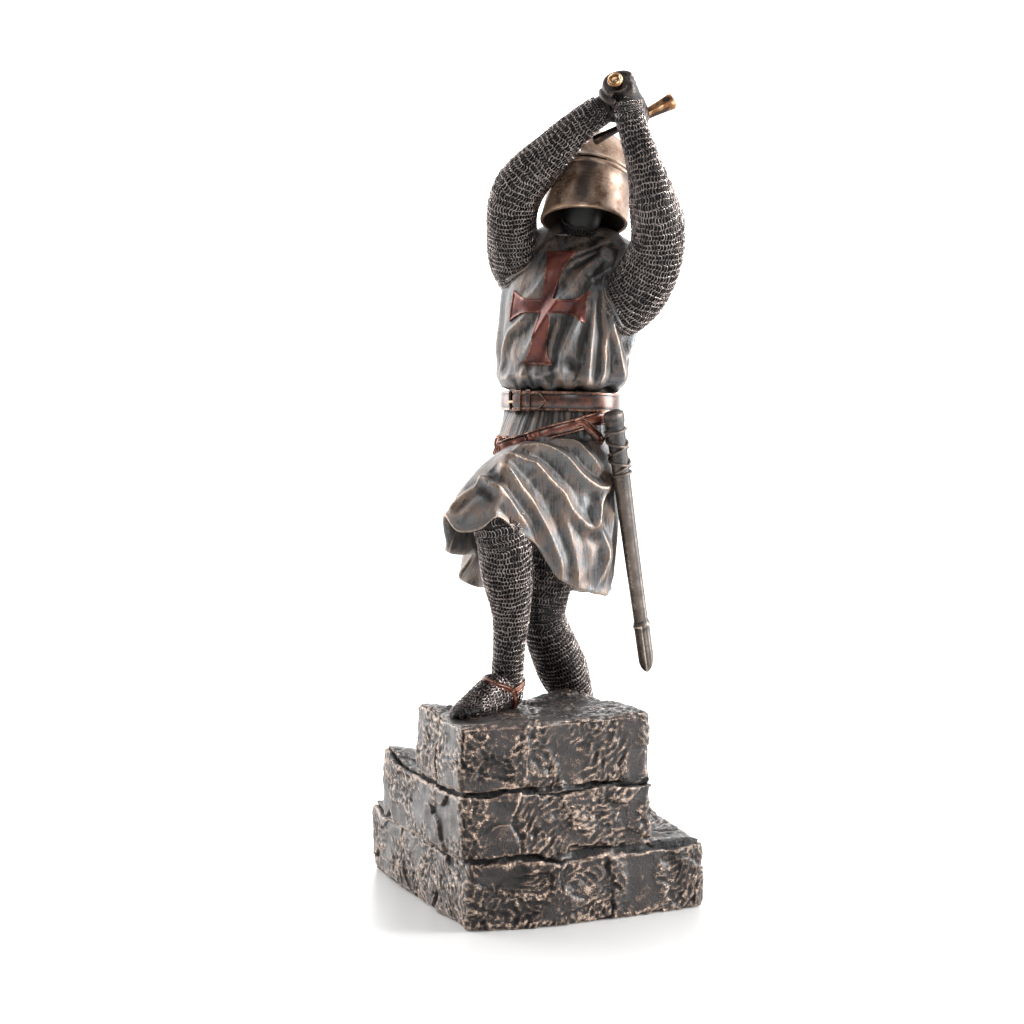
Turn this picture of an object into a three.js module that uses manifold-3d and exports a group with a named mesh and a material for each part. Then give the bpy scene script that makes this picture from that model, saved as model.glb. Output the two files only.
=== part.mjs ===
// A cast figurine: a knight in mail, helm and surcoat swings a sword overhead on three rough stone steps.
// Millimetres, +Z up. The origin is the centre of the plinth's underside; the steps' broad face looks along -Y.
// The knight stands with the right foot on the upper step and the left foot on the middle one.
import * as THREE from "three";
import { mergeVertices } from "three/addons/utils/BufferGeometryUtils.js";
import Module from "manifold-3d";

const wasm = await Module();
wasm.setup();

// Plinth: three courses of rough stone, each with its own height; treads open to the back and to the right.
const BASE_LENGTH = 102;
const BASE_DEPTH = 118;
const LOWER_COURSE = 27.6;
const MIDDLE_COURSE = 26.3;
const UPPER_COURSE = 27;
const LOWER_TREAD = 24; // back tread of the lower course
const MIDDLE_TREAD = 41; // back tread of the middle course, which takes the left foot
const SIDE_TREAD = 23; // right tread of the lower course
const LEFT_OVERHANG = 2.5; // the middle and upper courses stand out over the lower one here
const FRONT_SETBACK = 2; // of the upper course
const STONE_RELIEF = 1.2; // of the broken faces, in and out
const STONE_EDGE = 2.4; // worn-off edges
const STONE_GRID = 12; // spacing of the carved facets
const JOINT_OPENING = 0.5; // open joint between two courses
const JOINT_BED = 1.6; // set-back mortar that fills it

// Figure: its pose and proportions are shares of its height, from the upper step to the top of the fists.
const FIGURE_HEIGHT = 258;
const STANCE_FROM_LEFT = 53.5; // from the upper course's left and back edges
const STANCE_FROM_BACK = 6;
const SKIRT_WALL = 2.2;
const HELM_WALL = 1.3;
const BELT_WIDTH = 8;
const BELT_THICKNESS = 1.2;
const STRAP_WIDTH = 4.2;
const CROSS_RELIEF = 0.7;
const CROSS_HEIGHT = 46;
const CROSS_SPAN = 40;

// Sword
const BLADE_LENGTH = 86;
const BLADE_WIDTH = 8.4;
const BLADE_THICKNESS = 2.2;
const GUARD_LENGTH = 35;
const GUARD_SECTION = 3.6;
const GRIP_LENGTH = 27;
const GRIP_RADIUS = 2.1;
const POMMEL_RADIUS = 3.6;
const POMMEL_THICKNESS = 3.4;

// Scabbard
const SCABBARD_LENGTH = 112;
const SCABBARD_WIDTH = 9;
const SCABBARD_THICKNESS = 6.2;
const SCABBARD_TIP = 0.62; // the chape's width, as a share of the throat's

const CLEARANCE = 0.3; // between separate castings

const X = new THREE.Vector3(1, 0, 0);
const Y = new THREE.Vector3(0, 1, 0);
const Z = new THREE.Vector3(0, 0, 1);

// Solids

// A closed geometry as a solid whose faces point out.
function solid(geometry) {
  const bare = geometry.index ? geometry.clone() : geometry;
  bare.deleteAttribute("normal");
  bare.deleteAttribute("uv");
  const merged = mergeVertices(bare, 1e-4);
  const triangles = Array.from(merged.index.array);
  const kept = [];
  for (let i = 0; i < triangles.length; i += 3) {
    const [a, b, c] = triangles.slice(i, i + 3);
    if (a !== b && b !== c && c !== a) kept.push(a, b, c);
  }
  const make = (order) =>
    new wasm.Manifold(
      new wasm.Mesh({ numProp: 3, vertProperties: merged.attributes.position.array, triVerts: new Uint32Array(order) }),
    );
  const made = make(kept);
  if (made.volume() > 0) return made;
  for (let i = 0; i < kept.length; i += 3) [kept[i + 1], kept[i + 2]] = [kept[i + 2], kept[i + 1]];
  return make(kept);
}

function join(...solids) {
  return solids.reduce((whole, next) => whole.add(next));
}

// The largest closed body of a solid: chips that a cut leaves behind fall away.
function mainBody(made) {
  return made.decompose().reduce((best, next) => (next.volume() > best.volume() ? next : best));
}

function meshOf(name, made, look) {
  const { numProp, vertProperties, triVerts } = made.getMesh();
  const points = new Float32Array((vertProperties.length / numProp) * 3);
  for (let i = 0; i < points.length / 3; i++) points.set(vertProperties.subarray(i * numProp, i * numProp + 3), i * 3);
  const geometry = new THREE.BufferGeometry();
  geometry.setAttribute("position", new THREE.BufferAttribute(points, 3));
  geometry.setIndex(new THREE.BufferAttribute(triVerts, 1));
  const mesh = new THREE.Mesh(geometry, new THREE.MeshStandardMaterial(look));
  mesh.name = name;
  return mesh;
}

// A ball whose surface is moved to place(angle, t): angle runs round it, t from pole to pole.
function warpedBall(around, along, place) {
  const ball = new THREE.SphereGeometry(1, around, along);
  const position = ball.getAttribute("position");
  for (let row = 0; row <= along; row++)
    for (let column = 0; column <= around; column++) {
      const angle = ((column % around) / around) * 2 * Math.PI;
      const p = place(angle, row / along);
      position.setXYZ(row * (around + 1) + column, p.x, p.y, p.z);
    }
  return solid(ball);
}

// A value that passes smoothly through even steps, for t from 0 to 1.
function through(values, t) {
  const last = values.length - 1;
  const place = Math.min(Math.max(t, 0), 1) * last;
  const i = Math.min(Math.floor(place), last - 1);
  const f = place - i;
  const [a, b, c, d] = [values[Math.max(i - 1, 0)], values[i], values[i + 1], values[Math.min(i + 2, last)]];
  return b + 0.5 * f * (c - a + f * (2 * a - 5 * b + 4 * c - d + f * (3 * (b - c) + d - a)));
}

const CAP_ROWS = 3; // rings that round off each end of a limb

// How far along a limb the ring at t stands: rings crowd together where its ends round off.
function station(t, rows, ends) {
  const cap = CAP_ROWS / rows;
  if (t < cap) return ends * (t / cap) ** 2;
  if (t > 1 - cap) return 1 - station(1 - t, rows, ends);
  return ends + ((t - cap) / (1 - 2 * cap)) * (1 - 2 * ends);
}

// Rounds off both ends of a limb over a share of its length.
function roundEnds(s, ends) {
  const end = Math.min(s, 1 - s) / ends;
  return end >= 1 ? 1 : Math.sqrt(Math.max(0, 1 - (1 - end) ** 2));
}

// A limb along a smooth curve. Its oval sections are `wide` across the side vector and `deep` across the other.
function limb({ path, wide, deep, side, around = 12, along = 14, ends = 0.08, relief = () => 0, floor = -Infinity }) {
  const curve = new THREE.CatmullRomCurve3(path, false, "centripetal");
  return warpedBall(around, along, (angle, row) => {
    const t = station(row, along, ends);
    const centre = curve.getPoint(t);
    const tangent = curve.getTangent(t);
    const across = side.clone().addScaledVector(tangent, -side.dot(tangent)).normalize();
    const outward = new THREE.Vector3().crossVectors(tangent, across);
    const round = roundEnds(t, ends);
    const lift = round * relief(angle, t);
    const p = centre
      .addScaledVector(across, Math.cos(angle) * (through(wide, t) * round + lift))
      .addScaledVector(outward, Math.sin(angle) * (through(deep, t) * round + lift));
    p.z = Math.max(p.z, floor);
    return p;
  });
}

// Turns and moves a solid's geometry so that its Z axis lies along `up` and its X axis near `right`.
function stand(geometry, place, up, right) {
  const z = up.clone().normalize();
  const y = new THREE.Vector3().crossVectors(z, right).normalize();
  const x = new THREE.Vector3().crossVectors(y, z);
  return geometry.applyMatrix4(new THREE.Matrix4().makeBasis(x, y, z).setPosition(place));
}

// An oval band round an axis, from an outline of its section.
function band(place, up, right, wide, deep, width, thickness, around = 22) {
  const half = width / 2;
  const inner = 1 - thickness / wide;
  const section = [
    [inner, -half],
    [1 + thickness / wide, -half],
    [1 + thickness / wide, half],
    [inner, half],
    [inner, -half],
  ].map(([r, z]) => new THREE.Vector2(r, z));
  const ring = new THREE.LatheGeometry(section, around).rotateX(Math.PI / 2).scale(wide, deep, 1);
  return solid(stand(ring, place, up, right));
}

// Plinth

// Smooth noise between -1 and 1, the same each time.
function noise(x, y, z) {
  return (
    Math.sin(x * 1.7 + 2.1 * Math.sin(y * 1.3 + z * 0.7)) * Math.sin(y * 1.9 + 1.7 * Math.sin(z * 1.1 + x * 0.5)) * 0.6 +
    Math.sin(z * 2.3 + 1.3 * Math.sin(x * 2.1 - y * 1.7)) * 0.4
  );
}

const courseLeft = -BASE_LENGTH / 2;
const courseFront = -BASE_DEPTH / 2;
const courses = {
  lower: {
    left: courseLeft,
    right: BASE_LENGTH / 2,
    front: courseFront,
    back: BASE_DEPTH / 2,
    bottom: 0,
    height: LOWER_COURSE,
  },
  middle: {
    left: courseLeft - LEFT_OVERHANG,
    right: BASE_LENGTH / 2 - SIDE_TREAD,
    front: courseFront,
    back: BASE_DEPTH / 2 - LOWER_TREAD,
    bottom: LOWER_COURSE,
    height: MIDDLE_COURSE,
  },
  upper: {
    left: courseLeft - LEFT_OVERHANG,
    right: BASE_LENGTH / 2 - SIDE_TREAD,
    front: courseFront + FRONT_SETBACK,
    back: BASE_DEPTH / 2 - LOWER_TREAD - MIDDLE_TREAD,
    bottom: LOWER_COURSE + MIDDLE_COURSE,
    height: UPPER_COURSE,
  },
};
const topOf = (course) => course.bottom + course.height;

// One course: a block with worn edges and broken side faces. Its top stays level, so that feet and stones bed on it.
function stoneCourse({ left, right, front, back, bottom, height }) {
  const length = right - left;
  const depth = back - front;
  const cells = (size) => Math.max(2, Math.round(size / STONE_GRID));
  const block = new THREE.BoxGeometry(length, depth, height, cells(length), cells(depth), 3);
  const position = block.getAttribute("position");
  const onFace = (value, size) => Math.abs(Math.abs(value) - size / 2) < 1e-6;
  for (let i = 0; i < position.count; i++) {
    const [x, y, z] = [position.getX(i), position.getY(i), position.getZ(i)];
    const sides = [onFace(x, length), onFace(y, depth)];
    const rim = onFace(z, height);
    const scale = 1 / STONE_GRID;
    const broken = STONE_RELIEF * noise((x + left) * scale, (y + back) * scale, (z + bottom) * scale);
    const worn = STONE_EDGE * ((sides[0] && sides[1] ? 0.25 : 0) + (rim ? 0.4 : 0));
    const out = broken - worn;
    position.setX(i, sides[0] ? x + Math.sign(x) * out : x);
    position.setY(i, sides[1] ? y + Math.sign(y) * out : y);
  }
  block.translate((left + right) / 2, (front + back) / 2, bottom + height / 2);
  return solid(block);
}

// The mortar bed between two courses: set back from their faces, so that a dark joint shows.
function jointBed(course, inset) {
  const bed = new THREE.BoxGeometry(course.right - course.left - inset, course.back - course.front - inset, JOINT_BED);
  bed.translate((course.left + course.right) / 2, (course.front + course.back) / 2, course.bottom);
  return solid(bed);
}

function plinth() {
  const { lower, middle, upper } = courses;
  const inset = 6 * STONE_RELIEF;
  const opened = (course) => ({ ...course, bottom: course.bottom + JOINT_OPENING, height: course.height - JOINT_OPENING });
  return join(
    stoneCourse(lower),
    stoneCourse(opened(middle)),
    stoneCourse(opened(upper)),
    jointBed(middle, inset),
    jointBed(upper, inset),
  );
}

// Figure

const { upper, middle } = courses;
const soleHeight = topOf(upper) + CLEARANCE;
const rearSole = topOf(middle) + CLEARANCE;
const stance = new THREE.Vector3(upper.left + STANCE_FROM_LEFT, upper.back + STANCE_FROM_BACK, soleHeight);
const share = (value) => value * FIGURE_HEIGHT;
const shares = (list) => list.map(share);
const at = (x, y, z) => new THREE.Vector3(share(x), share(y), share(z)).add(stance);
const along = (degrees) => new THREE.Vector3(Math.cos((degrees * Math.PI) / 180), Math.sin((degrees * Math.PI) / 180), 0);

// Compass directions, in degrees from +X. The hips face the knee; the chest turns towards the sword.
const HIPS_FACE = 213;
const CHEST_FACES = 223;
const hipsLeft = along(HIPS_FACE + 90);
const chestLeft = along(CHEST_FACES + 90);
const chestFront = along(CHEST_FACES);

const joints = {
  hips: at(0.023, -0.046, 0.421),
  waist: at(0.025, -0.046, 0.479),
  neck: at(0.076, -0.041, 0.743),
};
const rightWrist = at(0.046, -0.144, 0.917);
const leftWrist = at(0.075, -0.204, 0.92);

// Sword line: from the pommel, over the left shoulder.
const pommelEnd = at(0.035, -0.229, 0.969);
const swordAxis = new THREE.Vector3(0.592, 0.652, -0.474).normalize();
const guardAxis = new THREE.Vector3(0.79, -0.4, 0.44).projectOnPlane(swordAxis).normalize();
const onSword = (distance) => pommelEnd.clone().addScaledVector(swordAxis, distance);
const guardAt = POMMEL_THICKNESS + GRIP_LENGTH + GUARD_SECTION / 2;
const fists = {
  left: onSword(POMMEL_THICKNESS + 0.27 * GRIP_LENGTH),
  right: onSword(POMMEL_THICKNESS + 0.72 * GRIP_LENGTH),
};

// Surcoat above the belt: bloused over the belt, pleated from the left shoulder down.
const PLEATS = 9;
function bodicePleats(angle, t) {
  const left = 0.5 + 0.5 * Math.cos(angle + 0.6); // deepest towards the left flank
  const fade = Math.sin(Math.PI * Math.min(1, 1.15 * (1 - t)));
  return share(0.0058) * left * fade * Math.cos(PLEATS * angle + 3 * t);
}

function bodice(extra = 0) {
  return limb({
    path: [
      at(0.023, -0.044, 0.45),
      at(0.025, -0.045, 0.5),
      at(0.029, -0.046, 0.545),
      at(0.036, -0.044, 0.6),
      at(0.044, -0.041, 0.655),
      at(0.058, -0.041, 0.705),
      at(0.074, -0.041, 0.752),
    ],
    wide: shares([0.08, 0.098, 0.109, 0.11, 0.108, 0.088, 0.04]).map((r) => r + extra),
    deep: shares([0.06, 0.072, 0.082, 0.081, 0.079, 0.062, 0.038]).map((r) => r + extra),
    side: chestLeft,
    around: 30,
    along: 14,
    ends: 0.06,
    relief: bodicePleats,
  });
}

// A flared cross in low relief on the breast.
function breastCross() {
  const flare = (half, reach) => {
    const waist = 0.055 * CROSS_HEIGHT;
    const tip = 0.14 * CROSS_HEIGHT;
    return [waist, tip, half, reach];
  };
  const [waist, tip, half, reach] = flare(CROSS_SPAN / 2, CROSS_HEIGHT / 2);
  const outline = new THREE.Shape();
  outline.moveTo(-tip, reach);
  outline.lineTo(tip, reach);
  outline.quadraticCurveTo(waist, 0.4 * reach, waist, waist);
  outline.quadraticCurveTo(0.4 * half, waist, half, tip);
  outline.lineTo(half, -tip);
  outline.quadraticCurveTo(0.4 * half, -waist, waist, -waist);
  outline.quadraticCurveTo(waist, -0.4 * reach, tip, -reach);
  outline.lineTo(-tip, -reach);
  outline.quadraticCurveTo(-waist, -0.4 * reach, -waist, -waist);
  outline.quadraticCurveTo(-0.4 * half, -waist, -half, -tip);
  outline.lineTo(-half, tip);
  outline.quadraticCurveTo(-0.4 * half, waist, -waist, waist);
  outline.quadraticCurveTo(-waist, 0.4 * reach, -tip, reach);
  const prism = new THREE.ExtrudeGeometry(outline, { depth: share(0.16), bevelEnabled: false, curveSegments: 2 });
  // The outline's X runs to the knight's left, its Y up the breast, and the prism stands out of it.
  const middleOfBreast = at(0.037, -0.043, 0.645);
  const upBreast = new THREE.Vector3().addScaledVector(Z, 1).addScaledVector(chestFront, -0.16).normalize();
  const basis = new THREE.Matrix4().makeBasis(chestLeft, upBreast, new THREE.Vector3().crossVectors(chestLeft, upBreast));
  return solid(prism.applyMatrix4(basis.setPosition(middleOfBreast)));
}

// Skirt of the surcoat: it hangs from the belt all round and tents over the raised right thigh.
// Each guide is a direction from the hips, then the reach and height of the fall's shoulder, then those of its hem.
const SKIRT_GUIDES = [
  [30, 0.103, 0.31, 0.112, 0.166],
  [100, 0.108, 0.315, 0.136, 0.166],
  [135, 0.11, 0.325, 0.158, 0.185],
  [175, 0.128, 0.345, 0.172, 0.235],
  [192, 0.16, 0.38, 0.215, 0.27],
  [203, 0.19, 0.392, 0.25, 0.312],
  [212, 0.205, 0.41, 0.264, 0.292],
  [222, 0.212, 0.43, 0.226, 0.286],
  [234, 0.182, 0.436, 0.15, 0.264],
  [248, 0.158, 0.425, 0.128, 0.209],
  [284, 0.13, 0.356, 0.109, 0.18],
  [338, 0.1, 0.33, 0.076, 0.186],
];
const SKIRT_TOP = { reach: 0.097, height: 0.424 };
// Each fold runs over the skirt from one direction and share of the fall to another, and stands out by a share of the height.
const FOLDS = [
  [211, 0.42, 233, 1, 0.008],
  [217, 0.36, 248, 1, 0.011],
  [224, 0.3, 268, 0.98, 0.008],
  [236, 0.25, 284, 0.62, 0.012],
  [230, 0.05, 292, 0.3, 0.012],
  [300, 0.3, 290, 1, 0.008],
  [326, 0.2, 318, 1, 0.008],
];
const BACK_PLEATS = 12;
const BACK_PLEAT_DEPTH = 0.009;

// A column of the guides at any direction, smooth all the way round.
function guided(column, angle) {
  const count = SKIRT_GUIDES.length;
  const guide = (i) => {
    const turns = Math.floor(i / count);
    const row = SKIRT_GUIDES[i - turns * count];
    return [row[0] + 360 * turns, row[column]];
  };
  let i = -1;
  while (guide(i + 1)[0] <= angle) i++;
  const [before, from, to, after] = [guide(i - 1), guide(i), guide(i + 1), guide(i + 2)];
  const span = to[0] - from[0];
  const leave = (span * (to[1] - before[1])) / (to[0] - before[0]);
  const arrive = (span * (after[1] - from[1])) / (after[0] - from[0]);
  const f = (angle - from[0]) / span;
  return (
    from[1] * (1 + 2 * f) * (1 - f) ** 2 + to[1] * f * f * (3 - 2 * f) + leave * f * (1 - f) ** 2 - arrive * f * f * (1 - f)
  );
}

function foldLift(angle, t) {
  let lift = 0;
  for (const [fromAngle, fromT, toAngle, toT, height] of FOLDS) {
    const [du, dv] = [(toAngle - fromAngle) / 90, toT - fromT];
    const [pu, pv] = [(angle - fromAngle) / 90, t - fromT];
    const f = Math.min(1, Math.max(0, (pu * du + pv * dv) / (du * du + dv * dv)));
    const away = Math.hypot(pu - f * du, pv - f * dv);
    lift += height * (0.35 + 0.65 * f) * Math.exp(-((away / 0.075) ** 2));
  }
  const rear = Math.max(0, Math.cos(((angle - 70) * Math.PI) / 180));
  return lift + BACK_PLEAT_DEPTH * rear * t * Math.cos((BACK_PLEATS * angle * Math.PI) / 180);
}

// A point of the skirt: direction in degrees, t from its top (0) to the hem (1), inset from the outer face.
function skirtPoint(angle, t, inset) {
  const [reach, height, hemReach, hemHeight] = [1, 2, 3, 4].map((column) => guided(column, angle));
  const bezier = (a, b, c) => a * (1 - t) ** 2 + 2 * b * t * (1 - t) + c * t * t;
  const r = share(bezier(SKIRT_TOP.reach, reach, hemReach) + foldLift(angle, t)) - inset;
  const z = bezier(SKIRT_TOP.height, height, hemHeight) - (inset / FIGURE_HEIGHT) * (1 - t);
  return joints.hips.clone().setZ(soleHeight + share(z)).addScaledVector(along(angle), r);
}

function skirtShell() {
  const DOWN = 10; // rows down the outer face
  const UP = 4; // rows back up the inner face
  const INNER_TOP = 0.5;
  const rows = DOWN + UP + 3;
  return warpedBall(44, rows, (angle, share_) => {
    const row = Math.round(share_ * rows);
    const degrees = (angle * 180) / Math.PI;
    if (row === 0) return joints.hips.clone().setZ(joints.waist.z);
    if (row === 1) return at(0.023, -0.046, 0.462).addScaledVector(along(degrees), share(0.09));
    if (row <= DOWN + 1) return skirtPoint(degrees, (row - 2) / (DOWN - 1), 0);
    if (row < rows) return skirtPoint(degrees, 1 - ((row - DOWN - 2) / UP) * (1 - INNER_TOP), SKIRT_WALL);
    return joints.hips.clone();
  });
}

function belts() {
  const up = new THREE.Vector3(0.04, 0.03, 1);
  const belt = band(joints.waist, up, hipsLeft, share(0.099), share(0.077), BELT_WIDTH, BELT_THICKNESS);
  const slung = joints.waist.clone().add(new THREE.Vector3(0, 0, -share(0.045)));
  const slope = new THREE.Vector3(0, 0, 1).addScaledVector(along(HIPS_FACE - 25), 0.22);
  const strap = band(slung, slope, hipsLeft, share(0.103), share(0.088), STRAP_WIDTH, BELT_THICKNESS);
  const plate = new THREE.BoxGeometry(BELT_WIDTH * 1.15, BELT_WIDTH * 1.2, 2 * BELT_THICKNESS);
  const buckleFaces = along(HIPS_FACE + 18);
  const place = joints.waist.clone().addScaledVector(buckleFaces, share(0.0835));
  return join(belt, strap, solid(stand(plate, place, buckleFaces, Z)));
}

// The surcoat's shoulders, from one armhole to the other.
function yoke() {
  return limb({
    path: [at(-0.022, -0.002, 0.685), at(0.03, -0.026, 0.716), at(0.078, -0.062, 0.712), at(0.118, -0.118, 0.668)],
    wide: shares([0.045, 0.05, 0.05, 0.05]),
    deep: shares([0.04, 0.036, 0.036, 0.045]),
    side: Z,
    along: 10,
    ends: 0.12,
  });
}

function legs() {
  const right = limb({
    path: [
      at(0.0, -0.012, 0.39),
      at(-0.07, -0.085, 0.352),
      at(-0.119, -0.146, 0.312),
      at(-0.108, -0.142, 0.271),
      at(-0.094, -0.12, 0.213),
      at(-0.081, -0.101, 0.154),
      at(-0.078, -0.086, 0.095),
      at(-0.076, -0.074, 0.049),
      at(-0.074, -0.07, 0.016),
    ],
    wide: shares([0.052, 0.05, 0.044, 0.0435, 0.0405, 0.0305, 0.0255, 0.0255, 0.026]),
    deep: shares([0.052, 0.05, 0.044, 0.0435, 0.0405, 0.0315, 0.027, 0.027, 0.027]),
    side: hipsLeft,
    along: 15,
    ends: 0.04,
  });
  const left = limb({
    path: [
      at(0.045, -0.08, 0.39),
      at(0.02, -0.055, 0.27),
      at(0.004, -0.036, 0.165),
      at(0.003, -0.032, 0.132),
      at(0.026, -0.014, 0.086),
      at(0.054, 0.006, 0.039),
      at(0.077, 0.02, -0.001),
      at(0.093, 0.024, -0.047),
      at(0.097, 0.024, -0.08),
    ],
    wide: shares([0.052, 0.047, 0.037, 0.036, 0.0395, 0.042, 0.0335, 0.027, 0.027]),
    deep: shares([0.052, 0.048, 0.038, 0.037, 0.0395, 0.041, 0.0335, 0.027, 0.027]),
    side: hipsLeft,
    along: 15,
    ends: 0.04,
  });
  return join(right, left);
}

// A mailed foot, flat underneath, from a heel point towards the toes.
function foot(heel, toes, sole) {
  const forward = toes.clone().sub(heel);
  const step = (s, height) => heel.clone().addScaledVector(forward, s).setZ(sole + share(height));
  return limb({
    path: [step(0, 0.016), step(0.2, 0.022), step(0.42, 0.022), step(0.72, 0.011), step(0.9, 0.006), step(1, 0.005)],
    wide: shares([0.018, 0.0215, 0.024, 0.0265, 0.02, 0.012]),
    deep: shares([0.022, 0.03, 0.034, 0.021, 0.014, 0.01]),
    side: new THREE.Vector3().crossVectors(Z, forward).normalize(),
    around: 12,
    along: 9,
    ends: 0.14,
    floor: sole,
  });
}

function feet() {
  return join(
    foot(at(-0.05, -0.058, 0), at(-0.194, -0.15, 0), soleHeight),
    foot(at(0.122, 0.024, 0), at(-0.025, 0.036, 0), rearSole),
  );
}

function arms() {
  const right = limb({
    path: [at(0.02, -0.012, 0.66), at(-0.018, 0.008, 0.694), at(-0.044, -0.016, 0.752), at(-0.054, -0.064, 0.812), at(-0.008, -0.11, 0.867), rightWrist],
    wide: shares([0.06, 0.052, 0.042, 0.0405, 0.0285, 0.021]),
    deep: shares([0.05, 0.046, 0.042, 0.0405, 0.029, 0.021]),
    side: chestLeft,
    along: 14,
    ends: 0.05,
  });
  const left = limb({
    path: [at(0.075, -0.07, 0.61), at(0.118, -0.128, 0.65), at(0.13, -0.178, 0.715), at(0.113, -0.208, 0.78), at(0.096, -0.21, 0.85), leftWrist],
    wide: shares([0.06, 0.05, 0.043, 0.04, 0.031, 0.021]),
    deep: shares([0.055, 0.05, 0.042, 0.04, 0.031, 0.021]),
    side: along(CHEST_FACES),
    along: 14,
    ends: 0.05,
  });
  return join(right, left);
}

// A fist round the grip: four fingers show as ridges along it.
function fist(centre, wrist) {
  const back = wrist.clone().sub(centre).projectOnPlane(swordAxis).normalize();
  const half = share(0.0235);
  return limb({
    path: [-1, -0.5, 0.5, 1].map((s) => centre.clone().addScaledVector(swordAxis, s * half)),
    wide: shares([0.021, 0.0255, 0.0255, 0.021]),
    deep: shares([0.02, 0.0235, 0.0235, 0.02]),
    side: back,
    around: 10,
    along: 11,
    ends: 0.16,
    relief: (angle, t) => -share(0.0022) * (0.5 - 0.5 * Math.cos(angle)) * Math.abs(Math.sin(4 * Math.PI * t)) ** 0.5,
  });
}

function hands() {
  const palm = (wrist, centre) => {
    const back = wrist.clone().sub(centre).normalize();
    return limb({
      path: [wrist.clone().addScaledVector(back, share(0.03)), wrist.clone().lerp(centre, 0.4), centre],
      wide: shares([0.018, 0.022, 0.022]),
      deep: shares([0.018, 0.02, 0.02]),
      side: swordAxis,
      around: 8,
      along: 8,
      ends: 0.15,
    });
  };
  return join(
    fist(fists.left, leftWrist),
    fist(fists.right, rightWrist),
    palm(leftWrist, fists.left),
    palm(rightWrist, fists.right),
  );
}

// Helm: a domed pot helm with a brow band, eye slits and an open, hollow bottom, thrown back.
const helm = {
  rim: at(0.047, -0.089, 0.775),
  up: at(0.089, -0.055, 0.9).sub(at(0.047, -0.089, 0.775)).normalize(),
  height: share(0.133),
  face: along(218),
};
// Radius and height up the helm, with the two ridges of its brow band.
const helmProfile = [
  [0.0655, 0],
  [0.0635, 0.03],
  [0.06, 0.062],
  [0.0625, 0.066],
  [0.0575, 0.071],
  [0.059, 0.076],
  [0.052, 0.08],
  [0.043, 0.104],
  [0.028, 0.123],
].map(([r, z]) => new THREE.Vector2(share(r), share(z)));
const HELM_INSIDE = [0, 2, 7]; // the profile points that the hollow follows

function helmShell() {
  const crown = new THREE.Vector2(0, helm.height);
  const inside = HELM_INSIDE.map((i) => new THREE.Vector2(helmProfile[i].x - HELM_WALL, helmProfile[i].y));
  const outline = [crown, ...helmProfile.slice().reverse(), ...inside, new THREE.Vector2(0, inside[2].y + 2 * HELM_WALL)];
  const shell = solid(stand(new THREE.LatheGeometry(outline, 22).rotateX(Math.PI / 2), helm.rim, helm.up, helm.face));
  const slit = new THREE.BoxGeometry(share(0.05), share(0.04), share(0.006));
  const slitAt = (turn) =>
    solid(stand(slit.clone(), helm.rim.clone().addScaledVector(helm.up, share(0.055)).addScaledVector(turn, share(0.055)), helm.up, turn));
  return shell.subtract(join(slitAt(along(218 - 26)), slitAt(along(218 + 26))));
}

// Head and neck in a mail hood, inside the helm.
function hood() {
  const neckRoot = at(0.052, -0.05, 0.69);
  const crownOfHead = helm.rim.clone().addScaledVector(helm.up, share(0.085));
  return limb({
    path: [neckRoot, joints.neck, helm.rim.clone().lerp(joints.neck, 0.45).addScaledVector(helm.up, share(0.02)), crownOfHead],
    wide: shares([0.03, 0.042, 0.04, 0.045]),
    deep: shares([0.03, 0.04, 0.042, 0.045]),
    side: chestLeft,
    around: 14,
    along: 12,
    ends: 0.12,
  });
}

// Sword

function roundBar(from, axis, radius, length, around = 14) {
  return solid(stand(new THREE.CylinderGeometry(radius, radius, length, around).rotateX(Math.PI / 2).translate(0, 0, length / 2), from, axis, guardAxis));
}

function sword() {
  const half = BLADE_WIDTH / 2;
  const ridge = BLADE_THICKNESS / 2;
  const section = new THREE.Shape([
    new THREE.Vector2(-half, 0),
    new THREE.Vector2(0, -ridge),
    new THREE.Vector2(half, 0),
    new THREE.Vector2(0, ridge),
  ]);
  const blade = new THREE.ExtrudeGeometry(section, { depth: BLADE_LENGTH, steps: 8, bevelEnabled: false });
  const position = blade.getAttribute("position");
  const POINT = 0.15; // share of the blade that runs to its point
  for (let i = 0; i < position.count; i++) {
    const t = position.getZ(i) / BLADE_LENGTH;
    const narrow = (1 - 0.3 * t) * Math.min(1, 0.04 + (1 - t) / POINT);
    position.setXYZ(i, position.getX(i) * narrow, position.getY(i) * Math.min(1, 0.3 + narrow), position.getZ(i));
  }
  const guardPlace = onSword(guardAt);
  const guard = new THREE.BoxGeometry(GUARD_LENGTH, GUARD_SECTION, GUARD_SECTION, 2, 1, 1);
  const corners = guard.getAttribute("position");
  for (let i = 0; i < corners.count; i++) {
    const end = Math.abs(corners.getX(i)) / (GUARD_LENGTH / 2);
    corners.setY(i, corners.getY(i) * (0.8 + 0.35 * end));
  }
  const pommel = new THREE.LatheGeometry(
    [
      [0, 0],
      [0.7, 0],
      [1, 0.3],
      [1, 0.7],
      [0.7, 1],
      [0, 1],
    ].map(([r, z]) => new THREE.Vector2(r * POMMEL_RADIUS, z * POMMEL_THICKNESS)),
    20,
  ).rotateX(Math.PI / 2);
  return join(
    solid(stand(blade, guardPlace, swordAxis, guardAxis)),
    solid(stand(guard, guardPlace, swordAxis, guardAxis)),
    roundBar(onSword(POMMEL_THICKNESS / 2), swordAxis, GRIP_RADIUS, GRIP_LENGTH + POMMEL_THICKNESS),
    solid(stand(pommel, pommelEnd, swordAxis, guardAxis)),
  );
}

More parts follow.
